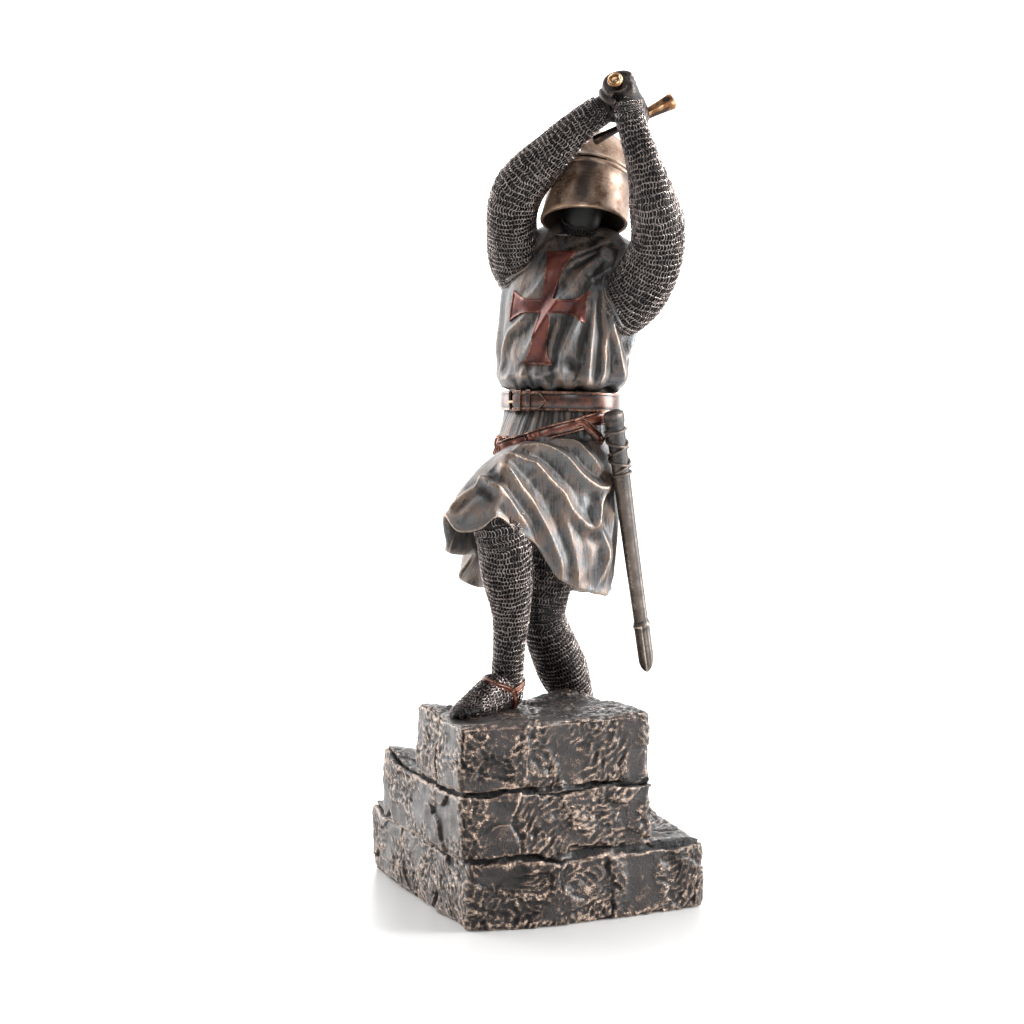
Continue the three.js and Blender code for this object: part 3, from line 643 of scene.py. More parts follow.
def patinated_bronze(
    name, shades, metal, rough, grain, bump,
    blotch=7, edge=(0.2, 0.45, 0.62, 0.85), brushed=0, streaks=0, lacquer=0,
):
    """Cold-cast bronze under a painted patina: dark paint lies in the hollows, handling bares the crests.

    `shades` are the hollows, the wash's two tones and the rubbed crests. `metal` and `rough` run from hollow
    to crest, which `edge` parts on the wear scale. Grain, bump, blotch and brushed are in mm.
    """
    found = bpy.data.materials.get(name)
    if found:
        return found
    hollow, body, tone, rubbed = ((*(linear(c) if isinstance(c, str) else tuple(c)), 1) for c in shades)
    material, tree = new_material(name)
    place = add_node(tree, "TexCoord", out="Object")
    wear_and_light = add_node(tree, "Attribute", out="Fac", attribute_name="wear_and_light")
    clouds, specks, relief = (
        add_node(
            tree, "TexNoise",
            {"Vector": place, "Scale": 1 / (size * MM), "Detail": detail, "Roughness": rough_edge},
        )
        for size, detail, rough_edge in ((blotch, 5.0, 0.62), (3 * grain, 3.0, 0.7), (2 * grain, 4.0, 0.6))
    )
    uneven, fine = (add_node(tree, "Math", (value, 0.5), operation="SUBTRACT") for value in (clouds, specks))
    marks = []
    if streaks:  # brush marks that run down the cloth
        course = add_node(tree, "Attribute", out="Vector", attribute_name="grain")
        drawn = add_node(
            tree, "VectorMath", (course, (1 / (0.9 * MM), 1 / (7 * MM), 1)), operation="MULTIPLY",
        )
        brush = add_node(tree, "TexNoise", {"Vector": drawn, "Scale": 1.0, "Detail": 4.0, "Roughness": 0.6})
        marks.append((brush, streaks, 1.3))
    if brushed:  # tool marks that follow a height kept on the piece
        height = add_node(tree, "Attribute", out="Fac", attribute_name="turned")
        turned = {"W": height, "Scale": 1 / (brushed * MM), "Detail": 2.0, "Roughness": 0.6}
        marks.append((add_node(tree, "TexNoise", turned, noise_dimensions="1D"), 0.6, 0.9))
    for mark, strength, depth in marks:
        centred = add_node(tree, "Math", (mark, 0.5), operation="SUBTRACT")
        fine = add_node(tree, "Math", (centred, strength, fine), operation="MULTIPLY_ADD")
        relief = add_node(tree, "Math", (mark, depth, relief), operation="MULTIPLY_ADD")
    wear_and_light_level = add_node(tree, "Math", (uneven, 0.35, wear_and_light), operation="MULTIPLY_ADD")
    wear_and_light_level = add_node(tree, "Math", (fine, 0.4, wear_and_light_level), operation="MULTIPLY_ADD", use_clamp=True)
    washed = add_node(tree, "Math", (uneven, 4.5, 0.5), operation="MULTIPLY_ADD", use_clamp=True)
    washed = add_node(tree, "Math", (fine, 0.9, washed), operation="MULTIPLY_ADD", use_clamp=True)
    low, high = (
        add_node(
            tree, "MapRange", {"Value": wear_and_light_level, "From Min": a, "From Max": b}, interpolation_type="SMOOTHSTEP",
        )
        for a, b in (edge[:2], edge[2:])
    )
    colour = add_node(tree, "Mix", {0: washed, 6: body, 7: tone}, out=2, data_type="RGBA")
    colour = add_node(tree, "Mix", {0: low, 6: hollow, 7: colour}, out=2, data_type="RGBA")
    colour = add_node(tree, "Mix", {0: high, 6: colour, 7: rubbed}, out=2, data_type="RGBA")
    middle = 0.5 * (edge[1] + edge[2])
    bare, gloss = (
        add_node(tree, "ValToRGB", {"Fac": wear_and_light_level}, stops=zip((edge[0], middle, edge[3]), shares))
        for shares in (metal, rough)
    )
    gloss = add_node(tree, "Math", (fine, 0.3, gloss), operation="MULTIPLY_ADD", use_clamp=True)
    dent = add_node(tree, "Bump", {"Height": relief, "Strength": 1.0, "Distance": bump * MM})
    lacquered = {"Coat_Weight": lacquer, "Coat_Roughness": 0.22}
    give_surface(tree, Base_Color=colour, Metallic=bare, Roughness=gloss, Normal=dent, **lacquered)
    return material


def stone_bronze():
    """The plinth: cast bronze modelled as hewn rock, near-black in its pits, rubbed pale on chip edges."""
    found = bpy.data.materials.get("hewn_rock_bronze")
    if found:
        return found
    colours = bpy.context.scene.knight_colours
    material, tree = new_material("hewn_rock_bronze")
    place = add_node(tree, "TexCoord", out="Object")
    wear_and_light, hewn = (add_node(tree, "Attribute", out="Fac", attribute_name=name) for name in ("wear_and_light", "hewn"))
    course = add_node(tree, "Attribute", out="Vector", attribute_name="stroke")
    swirl, nicks, grit, patches, spots = (
        add_node(
            tree, "TexNoise",
            {"Vector": place, "Scale": 1 / (size * MM), "Detail": detail, "Roughness": 0.6}, out,
        )
        for size, detail, out in (
            (2.4, 2.0, "Color"), (1.1, 2.0, 0), (0.6, 3.0, 0), (9.0, 4.0, 0), (3.0, 3.0, 0),
        )
    )
    shift = add_node(tree, "VectorMath", (swirl, (1.6 * MM, 1.6 * MM, 1.6 * MM)), operation="MULTIPLY")
    bent = add_node(tree, "VectorMath", (course, shift), operation="ADD")
    strokes = add_node(
        tree, "TexNoise", {"Vector": bent, "Scale": 1 / (1.35 * MM), "Detail": 1.0, "Roughness": 0.6},
    )
    lips = []
    for pattern, width, strength in ((strokes, 0.065, 1.0), (nicks, 0.05, 0.75)):
        away = add_node(tree, "Math", (pattern, 0.5), operation="SUBTRACT")
        away = add_node(tree, "Math", (away,), operation="ABSOLUTE")
        ends = {"Value": away, "From Min": 0.0, "From Max": width, "To Min": strength, "To Max": 0.0}
        lips.append(add_node(tree, "MapRange", ends, interpolation_type="SMOOTHSTEP"))
    lip = add_node(tree, "Math", lips, operation="MAXIMUM")
    both = add_node(tree, "Math", (patches, spots), operation="ADD")
    ends = {"Value": both, "From Min": 1.0, "From Max": 1.2}
    chosen = add_node(tree, "MapRange", ends, interpolation_type="SMOOTHSTEP")
    hewn_share = add_node(tree, "Math", (hewn, 0.7, 0.3), operation="MULTIPLY_ADD")
    rims = add_node(tree, "Math", (lip, hewn_share), operation="MULTIPLY")
    gritty = add_node(tree, "Math", (grit, 0.35), operation="MULTIPLY")
    height = add_node(tree, "Math", (rims, 0.6, gritty), operation="MULTIPLY_ADD")
    rim_share = add_node(tree, "Math", (chosen, 0.34, 0.12), operation="MULTIPLY_ADD")
    wear_and_light_level = add_node(tree, "Math", (rims, rim_share, wear_and_light), operation="MULTIPLY_ADD")
    for pattern, middle, share in ((grit, 0.5, 0.5), (chosen, 0.35, 0.12)):
        centred = add_node(tree, "Math", (pattern, middle), operation="SUBTRACT")
        last = pattern is chosen
        wear_and_light_level = add_node(tree, "Math", (centred, share, wear_and_light_level), operation="MULTIPLY_ADD", use_clamp=last)
    body, rubbed = tuple(colours.stone_body), tuple(colours.stone_rubbed)
    stops = [(0.16, linear("#080606")), (0.44, body), (0.62, linear("#6d5c50")), (0.8, rubbed)]
    metallic, roughness, coat = (
        add_node(
            tree, "MapRange", {
                "Value": wear_and_light_level, "From Min": 0.1, "From Max": top, "To Min": dark, "To Max": bright,
            },
            interpolation_type="SMOOTHSTEP",
        )
        for top, dark, bright in ((0.7, 0.1, 0.8), (0.8, 0.55, 0.3), (0.4, 0.0, 0.4))
    )
    # A clear lacquer lies over the patina.
    give_surface(
        tree, Base_Color=add_node(tree, "ValToRGB", {"Fac": wear_and_light_level}, stops=stops), Metallic=metallic,
        Roughness=roughness, Coat_Weight=coat, Coat_Roughness=0.22,
        Normal=add_node(tree, "Bump", {"Height": height, "Strength": 1.0, "Distance": 2.0 * MM}),
    )
    return material


def cloth_patina():
    # Surcoat: cold-cast bronze under a grey wash, brushed downwards; brown metal shows on the folds' crests.
    c = bpy.context.scene.knight_colours
    return patinated_bronze(
        "surcoat_patina", ("#1b1816", c.cloth, c.cloth_brown, c.cloth_rubbed), metal=(0.3, 0.55, 0.85),
        rough=(0.48, 0.4, 0.36), grain=0.45, bump=0.14, blotch=9, edge=(0.08, 0.5, 0.7, 1.08), streaks=1.9,
        lacquer=0.12,
    )


def mail_patina():
    # Mail: near-black between the links, silvery brown on their tops.
    c = bpy.context.scene.knight_colours
    return patinated_bronze(
        "mail_bronze", ("#0b0908", c.mail, "#3d342f", c.mail_rubbed), metal=(0.5, 0.9, 1.0),
        rough=(0.5, 0.33, 0.27), grain=0.3, bump=0.03, edge=(0.1, 0.45, 0.5, 1.0),
    )


def leather_patina():
    # Waist belt: dark brown leather modelled in bronze.
    return patinated_bronze(
        "belt_brown_patina", ("#120b0a", "#2c1b17", "#5f382b", "#b8937e"), metal=(0.35, 0.65, 0.95),
        rough=(0.45, 0.33, 0.27), grain=0.35, bump=0.06, blotch=4, edge=(0.12, 0.45, 0.6, 0.9), lacquer=0.6,
    )


def copper_patina():
    # Cross: the same casting under a red-brown copper wash.
    c = bpy.context.scene.knight_colours
    return patinated_bronze(
        "copper_red_patina", ("#150b0a", c.copper, "#5f2c21", "#a87c68"), metal=(0.35, 0.6, 0.9),
        rough=(0.45, 0.37, 0.3), grain=0.4, bump=0.12, blotch=5, edge=(0.12, 0.45, 0.66, 0.95), lacquer=0.12,
    )


def strap_patina():
    # Slung strap and spur straps: red-brown copper wash, rubbed bright along the edges.
    return patinated_bronze(
        "strap_copper_patina", ("#180d0b", "#5a3026", "#7c4634", "#cba48c"), metal=(0.4, 0.75, 1.0),
        rough=(0.42, 0.3, 0.25), grain=0.35, bump=0.06, blotch=5, edge=(0.1, 0.42, 0.6, 0.9), lacquer=0.6,
    )


def helm_patina():
    # Helm: satin brown bronze with fine turned lines.
    c = bpy.context.scene.knight_colours
    return patinated_bronze(
        "helm_bronze", ("#1a110d", c.helm, "#5d4334", "#c7a78c"),
        metal=(0.4, 0.65, 0.85), rough=(0.5, 0.38, 0.3),
        grain=0.35, bump=0.035, blotch=8, edge=(-0.1, 0.5, 0.62, 0.9), brushed=0.7,
    )


def glove_patina():
    # Gloves and grip: dark brown, smooth, like waxed leather.
    return patinated_bronze(
        "glove_bronze", ("#0c0a09", "#2c2421", "#3b322e", "#7d6c5f"), metal=(0.4, 0.7, 0.95),
        rough=(0.45, 0.33, 0.28), grain=0.3, bump=0.03, blotch=4, edge=(0.15, 0.45, 0.7, 0.95),
    )


def gold_bronze():
    # Guard and pommel: the bare casting metal, yellow-brown and satin.
    c = bpy.context.scene.knight_colours
    return patinated_bronze(
        "hilt_bronze", ("#26211f", c.gold, "#6e4a2f", "#d9b58f"),
        metal=(0.8, 1.0, 1.0), rough=(0.42, 0.3, 0.22),
        grain=0.3, bump=0.04, blotch=5,
    )


def blade_metal():
    # Blade: bronze under a cool grey wash, like steel.
    return patinated_bronze(
        "blade_grey", ("#2a2c30", "#6f7378", "#85878a", "#d8d4cc"),
        metal=(0.8, 1.0, 1.0), rough=(0.4, 0.28, 0.22),
        grain=0.3, bump=0.02, blotch=6,
    )


def sheath_patina():
    # Scabbard: dark brown leather modelled in bronze, rubbed along its ridges.
    return patinated_bronze(
        "sheath_bronze", ("#120f0e", "#4a403a", "#5d534c", "#b7a898"),
        metal=(0.3, 0.65, 1.0), rough=(0.5, 0.38, 0.3),
        grain=0.3, bump=0.05, blotch=5,
    )


# Settings


class KnightSizes(PropertyGroup):
    ring_pitch: FloatProperty(
        name="Ring pitch", description="Spacing of the mail's links round a limb", default=1.3 * MM,
        min=0.9 * MM, max=3 * MM, unit="LENGTH",
    )
    row_pitch: FloatProperty(
        name="Row pitch", description="Spacing of the mail's rows along a limb", default=2.1 * MM,
        min=1.4 * MM, max=4 * MM, unit="LENGTH",
    )
    wire: FloatProperty(
        name="Wire", description="Radius of a link's wire", default=0.26 * MM, min=0.15 * MM, max=0.6 * MM,
        unit="LENGTH",
    )
    rock_relief: FloatProperty(
        name="Rock relief", description="Depth of the hewn chips on the plinth", default=1.0 * MM, min=0.0,
        max=2 * MM, unit="LENGTH",
    )
    fold_depth: FloatProperty(
        name="Fold depth", description="Depth of the cloth's folds, as a share of the casting's",
        default=1.0, min=0.0, max=1.5, subtype="FACTOR",
    )


class KnightColours(PropertyGroup):
    stone_body: FloatVectorProperty(
        name="Stone", description="Patina on the plinth's broken faces", subtype="COLOR",
        default=linear("#2a201e"),
    )
    stone_rubbed: FloatVectorProperty(
        name="Stone crests", description="Bronze bared on the plinth's chips", subtype="COLOR",
        default=linear("#bfa795"),
    )
    cloth: FloatVectorProperty(
        name="Surcoat", description="Grey wash of the surcoat", subtype="COLOR", default=linear("#535659"),
    )
    cloth_brown: FloatVectorProperty(
        name="Surcoat brown", description="Brown cast in the surcoat's wash", subtype="COLOR",
        default=linear("#64544a"),
    )
    cloth_rubbed: FloatVectorProperty(
        name="Surcoat crests", description="Bronze bared on the folds", subtype="COLOR",
        default=linear("#958272"),
    )
    mail: FloatVectorProperty(
        name="Mail", description="Patina of the mail", subtype="COLOR", default=linear("#2a2225"),
    )
    mail_rubbed: FloatVectorProperty(
        name="Mail tops", description="Bronze bared on the links", subtype="COLOR",
        default=linear("#aca19c"),
    )
    copper: FloatVectorProperty(
        name="Cross", description="Red-brown wash of the cross", subtype="COLOR", default=linear("#4c231e"),
    )
    helm: FloatVectorProperty(
        name="Helm", description="Satin bronze of the helm", subtype="COLOR", default=linear("#a08a79"),
    )
    gold: FloatVectorProperty(
        name="Hilt", description="Bright bronze of guard and pommel", subtype="COLOR",
        default=linear("#94704f"),
    )


class KnightStudio(PropertyGroup):
    side_light: FloatProperty(
        name="Side softboxes", description="Power of each side softbox", default=14.0, min=0.0,
        subtype="POWER",
    )
    front_light: FloatProperty(
        name="Front fill", description="Power of the front fill", default=2.9, min=0.0, subtype="POWER",
    )
    backdrop: FloatProperty(
        name="Backdrop", description="Strength of the white behind the figure", default=2.6, min=0.0,
    )
    front_shade: FloatProperty(
        name="Front shade", description="Share of the backdrop's light that comes from the camera's side",
        default=0.075, min=0.0, max=1.0, subtype="FACTOR",
    )


# Pieces


def hewn_relief(co):
    """Relief of hewn rock at each point in mm, how rough it is there, and coordinates along the strokes."""
    # Vector noise takes its offsets from this seed, which is otherwise the time of day.
    noise.seed_set(4)
    lift, hewn, stroke = np.zeros(len(co)), np.zeros(len(co)), np.zeros((len(co), 3))
    for i, p in enumerate(co / MM):
        q = Vector(p)
        bent = q + 4 * noise.noise_vector(q / 12)
        _, corners = noise.voronoi(bent / 26)
        tilt = corners[0] * 7.3
        slope = Vector((math.sin(tilt.x), math.sin(tilt.y), math.sin(tilt.z)))
        facet = min(max(slope.dot(bent / 26 - corners[0]), -0.35), 0.5)
        rough_part = min(max((noise.noise(q / 15 + Vector((5, 1, 3))) + 0.3) * 4, 0.0), 1.0)
        turn_y, turn_x = noise.noise(corners[0] * 3.1), noise.noise(corners[0] * 2.3 + Vector((4, 4, 4)))
        drawn = Matrix.Rotation(6.3 * turn_y, 3, "Y") @ Matrix.Rotation(6.3 * turn_x, 3, "X") @ bent
        drawn = Vector((drawn.x * 0.4, drawn.y * 0.9, drawn.z))
        strokes = 1 - 2.8 * abs(noise.noise(drawn / 2.1))
        knobs = 1 - 2.6 * abs(noise.noise(bent / 3.3 + Vector((2, 9, 4))))
        hewn[i] = rough_part
        lift[i] = 1.5 * facet + rough_part * (0.42 * strokes + 0.34 * knobs) + 0.75 * noise.noise(q / 7)
        stroke[i] = drawn * MM
    return lift, hewn, stroke


def stone_block(name, left, right, front, back, bottom, top):
    """One course of the plinth before it is hewn: a block with worn edges."""
    deselect()
    centre = ((left + right) / 2 * MM, (front + back) / 2 * MM, (bottom + top) / 2 * MM)
    size = ((right - left) * MM, (back - front) * MM, (top - bottom) * MM)
    bpy.ops.mesh.primitive_cube_add(size=1, location=centre, scale=size)
    block = bpy.context.object
    bpy.ops.object.transform_apply(location=True, rotation=True, scale=True)
    block.name = name
    return apply_modifier(block, "BEVEL", width=1.6 * MM, segments=2, limit_method="NONE")


class KNIGHT_OT_plinth(Operator):
    """Three courses of hewn stone, cast as one"""

    bl_idname = "knight.plinth"
    bl_label = "Plinth"

    def execute(self, context):
        relief = context.scene.knight_sizes.rock_relief / MM
        joints = (27.1, 53.4)
        blocks = (  # left, right, front, back, bottom, top
            (-51.0, 51.8, -59.0, 59.0, 0.0, 27.6),
            (-53.5, 29.4, -59.0, 35.0, 27.0, 53.9),
            (-53.5, 28.4, -57.0, -6.0, 53.3, 80.9),
        )
        names = ("lower_course", "middle_course", "upper_course")
        plinth = joined("stone_plinth", [stone_block(name, *block) for name, block in zip(names, blocks)])
        apply_modifier(plinth, "REMESH", mode="VOXEL", voxel_size=ROCK_VOXEL)
        co, n = coordinates(plinth), normals(plinth)
        lift, hewn, stroke = hewn_relief(co)
        lift *= relief
        x, y, z = (co / MM).T
        course = np.where(z < joints[0], 0, np.where(z < joints[1], 1, 2))
        low, high = np.array(blocks)[course][:, 0::2], np.array(blocks)[course][:, 1::2]
        to_side = np.minimum(np.abs(co / MM - low), np.abs(high - co / MM))
        near_edge = np.sort(to_side, 1)[:, 1]
        chip = noise_at(co, 7 * MM, seed=3) + 0.7 * noise_at(co, 2.6 * MM, seed=7)
        lift -= np.clip(1 - near_edge / 2.4, 0, 1) * (0.45 + 0.6 * chip)
        tread, bed = n[:, 2] > 0.7, n[:, 2] < -0.7
        lift = np.where(tread, np.clip(0.8 * lift, -1.3, 1.2), lift)
        lift[bed] = 0
        # Two cracks run down the left faces.
        left_wall = n[:, 0] < -0.7
        for level, crack_y in ((0, 17), (2, -31)):
            away = np.abs(y - crack_y - 0.8 * noise_at(co * [0, 0, 1], 6 * MM, seed=level))
            lift -= 1.3 * bell(away, 0, 0.6) * (left_wall & (course == level))
        # The joints run in waves and gape here and there.
        around = np.stack([x, y, 0 * z], -1) * MM
        wave = 1.2 * noise_at(around, 13 * MM, seed=3) + 0.5 * noise_at(around, 4 * MM, seed=9)
        gape = 0.65 + 0.8 * noise_at(around, 9 * MM, seed=5)
        seam = np.zeros(len(co))
        wall = np.abs(n[:, 2]) < 0.8
        for level in joints:
            gap = np.exp(-(((z - level - wave) / (0.5 + 0.45 * np.clip(gape, 0, 2))) ** 4))
            seam = np.maximum(seam, gap * wall)
        lift = lift * (1 - seam) - seam * 2.4
        co = co + n * (lift * MM)[:, None]

        def mound(height, px, py, pz, wide_x, wide_y, wide_z):
            away = ((x - px) / wide_x) ** 2 + ((y - py) / wide_y) ** 2 + ((z - pz) / wide_z) ** 2
            return height * np.exp(-away)

        rise = (
            mound(3.0, 12, -8, 81, 13, 7, 9)
            + mound(2.6, -52, -14, 81, 9, 12, 9)
            + mound(-3.0, 29, -6, 81, 6, 16, 12)
        )
        rise += (
            mound(5.0, -52, 32, 54, 12, 10, 12)
            + mound(2.2, -52, 57, 27, 14, 10, 10)
            + mound(4.6, 46, 6, 27.6, 18, 30, 9)
        )
        outward = (
            mound(-1.7, -54, 32, 44, 5, 16, 20)
            + mound(-1.4, -54, -8, 68, 5, 14, 14)
            + mound(-2.2, -51, 20, 10, 5, 36, 20)
        )
        # The front faces aren't square to the sides: each falls back both ways from a ridge left of middle.
        front = np.where(
            course == 0, np.interp(x, [-51, -15, 52], [2.6, -3.0, 4.0]),
            np.interp(x, [-54, -28, 30], [1.8, -1.0, 5.0]),
        )
        forward = front * np.clip((5 - y) / 50, 0, 1)
        co += np.stack([outward, forward, rise], -1) * MM
        co[:, 2] = np.maximum(co[:, 2], 0)
        move_points(plinth, co)
        attribute(plinth, "hewn", hewn)
        attribute(plinth, "stroke", stroke)
        rub(plinth, fine=0.24, broad=0.14, reach=4, plain=0.38)
        # Painted light and shade: the treads are painted darker and the left faces lighter, as the light
        # falls on them. The front ledges of the lower treads are darker still; the joints stay dark.
        ledge = tread & (co[:, 1] < -50 * MM) & (co[:, 2] < 60 * MM)
        wear_and_light = values_of(plinth) * (1 - seam) - 0.1 * tread + 0.06 * left_wall - 0.4 * ledge
        attribute(plinth, "wear_and_light", wear_and_light)
        finish(plinth, stone_bronze())
        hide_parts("plinth")
        return {"FINISHED"}


CHEST_FOLDS = [
    (2.0, 2.6, 0.6, [
        (
            344, 0.93,
        ), (332, 0.92), (308, 0.83), (298, 0.76), (290, 0.65), (284, 0.61), (273, 0.52), (263, 0.41),
        (248, 0.3),
    ]),
    (1.1, 1.8, 0.6, [(342, 0.92), (313, 0.82), (302, 0.73)]),
    (1.1, 1.8, 0.5, [(330, 0.94), (300, 0.88), (276, 0.8)]),
    (0.8, 1.3, 0.6, [(336, 0.9), (310, 0.87), (290, 0.81), (282, 0.76)]),
    (0.8, 1.3, 0.6, [(338, 0.86), (318, 0.78), (306, 0.71)]),
    (
        2.0, 2.4, 0.6,
        [(309, 0.71), (303, 0.57), (298, 0.5), (292, 0.39), (288, 0.33), (290, 0.24), (292, 0.17)],
    ),
    (1.6, 2.0, 0.6, [(314, 0.74), (312, 0.6), (312, 0.5), (312, 0.38), (314, 0.24), (312, 0.17)]),
    (1.5, 1.9, 0.6, [(319, 0.74), (321, 0.56), (326, 0.43), (328, 0.29), (322, 0.18)]),
    (2.2, 2.3, 0.6, [(326, 0.75), (330, 0.57), (333, 0.49), (341, 0.42), (348, 0.36), (352, 0.19)]),
    (2.0, 2.6, 0.5, [(334, 0.84), (347, 0.75), (365, 0.6), (372, 0.48), (360, 0.34), (352, 0.25)]),
    (1.0, 2.0, 0.5, [(251, 0.51), (241, 0.47), (230, 0.42), (216, 0.27), (210, 0.2)]),
    (0.9, 1.6, 0.5, [(283, 0.51), (278, 0.41), (276, 0.31), (270, 0.21)]),
    (0.6, 2.0, 0.4, [(264, 0.82), (265, 0.72), (258, 0.63), (243, 0.58)]),
    (1.1, 2.6, 0.4, [(218, 0.2), (236, 0.22), (254, 0.24), (272, 0.26)]),
    (0.9, 2.0, 0.4, [(274, 0.24), (288, 0.28), (301, 0.24)]),
    (1.4, 2.4, 0.5, [(213, 0.83), (204, 0.72), (200, 0.56), (198, 0.42), (202, 0.25)]),
    (1.3, 3.0, 0.4, [(182, 0.7), (186, 0.5), (190, 0.3), (188, 0.2)]),
    (1.5, 3.2, 0.4, [(30, 0.8), (26, 0.6), (24, 0.4), (28, 0.2)]),
    (1.5, 3.2, 0.4, [(56, 0.82), (48, 0.6), (46, 0.4), (50, 0.2)]),
    (1.4, 3.2, 0.4, [(84, 0.84), (74, 0.6), (72, 0.4), (74, 0.2)]),
    (1.4, 3.2, 0.4, [(108, 0.84), (102, 0.62), (98, 0.4), (100, 0.2)]),
    (1.4, 3.2, 0.4, [(134, 0.8), (128, 0.6), (124, 0.4), (126, 0.2)]),
    (1.3, 3.0, 0.4, [(160, 0.76), (154, 0.56), (152, 0.36), (154, 0.2)]),
]


def breast_surface(degrees, t):
    return BODICE.surface(np.radians(degrees), t)


class KNIGHT_OT_surcoat(Operator):
    """Body of the surcoat, from the neck and armholes to where it blouses over the belt"""

    bl_idname = "knight.surcoat"
    bl_label = "Surcoat"

    def execute(self, context):
        body = loft("surcoat_body", BODICE.rows(96, 60, wider=-0.5 * MM))
        shoulders = loft("shoulders", YOKE.rows(48, 40, wider=-0.3 * MM))
        surcoat = joined("surcoat_body", [body, shoulders])
        apply_modifier(surcoat, "REMESH", mode="VOXEL", voxel_size=CLOTH_VOXEL)
        apply_modifier(surcoat, "SMOOTH", factor=0.5, iterations=20)
        grain_of(surcoat, WAIST, 30 * MM)
        co, n = coordinates(surcoat), normals(surcoat)
        depth = context.scene.knight_sizes.fold_depth
        lift = 1.3 * depth * fold_lift(co, CHEST_FOLDS, breast_surface)
        lift += 0.35 * MM * noise_at(co, 9 * MM, stretch=(1, 1, 2.2))
        lift += 0.08 * MM * noise_at(co, 2.6 * MM, stretch=(1, 1, 3), seed=4)
        height = (co[:, 2] - SOLE) / HEIGHT
        # The blouse swells over the belt and turns in beneath, its edge in waves.
        angle = np.arctan2(co[:, 1] - WAIST[1], co[:, 0] - WAIST[0])
        round_it = np.stack([30 * MM * np.cos(angle), 30 * MM * np.sin(angle), 0 * angle], -1)
        waves = noise_at(round_it, 7 * MM, seed=6)
        edge = 0.5 + 0.008 * waves
        swell = bell(height - edge, 0.015, 0.014)
        lift += (1.3 + 0.9 * waves) * MM * swell
        tuck = np.clip((edge + 0.002 - height) / 0.006, 0, 1)
        inward = unit(np.stack([WAIST[0] - co[:, 0], WAIST[1] - co[:, 1], 0 * angle], -1))
        co = co + n * (lift * (1 - tuck))[:, None] + inward * (3.2 * MM * tuck)[:, None]
        move_points(surcoat, co)
        rub(surcoat, fine=0.17, broad=0.26, reach=9, plain=0.42, soft=2)
        finish(surcoat, cloth_patina())
        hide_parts("knight")
        return {"FINISHED"}


def skin_of(obj):
    """A mesh's faces, to find the nearest place on them or to cast rays at them."""
    return BVHTree.FromPolygons(
        [tuple(p) for p in coordinates(obj)], [tuple(f.vertices) for f in obj.data.polygons],
    )


def drawn_to(cloth, points, own, share, stand):
    """Points mixed in two shares from their own place and the nearest on the cloth, with a stand in mm."""
    placed = []
    for p in points:
        near, normal, _, _ = cloth.find_nearest(Vector(p))
        placed.append(own * p + share * np.array(near + normal * stand * MM))
    return placed


class KNIGHT_OT_collar(Operator):
    """Rolled edges of the surcoat round the neck and the armholes"""

    bl_idname = "knight.collar"
    bl_label = "Collar"

    def execute(self, context):
        cloth = skin_of(bpy.data.objects["surcoat_body"])
        neck = np.array([14.5 * MM, -9.5 * MM, 274.6 * MM])
        neck_wide, neck_deep, roll = 10.4 * MM, 9.2 * MM, 0.62 * MM
        points, _ = hoop(neck, Z + 0.3 * CHEST_FRONT, CHEST_LEFT, neck_wide, neck_deep, 72)
        edges = [cord("collar", drawn_to(cloth, points, 0.45, 0.55, 1.1), roll, around=10, loop=True)]
        for limb, share in ((RIGHT_ARM, 0.2), (LEFT_ARM, 0.13)):
            angle = np.arange(80) / 80 * TURN
            ring = limb.surface(angle, np.full(80, share), wider=0.9 * MM)
            edges.append(cord("armhole", drawn_to(cloth, ring, 0.3, 0.7, 0.2), 0.7 * MM, loop=True))
        collar = joined("surcoat_edges", edges)
        grain_of(collar, WAIST, 30 * MM)
        attribute(collar, "wear_and_light", 0.72)
        finish(collar, cloth_patina())
        return {"FINISHED"}


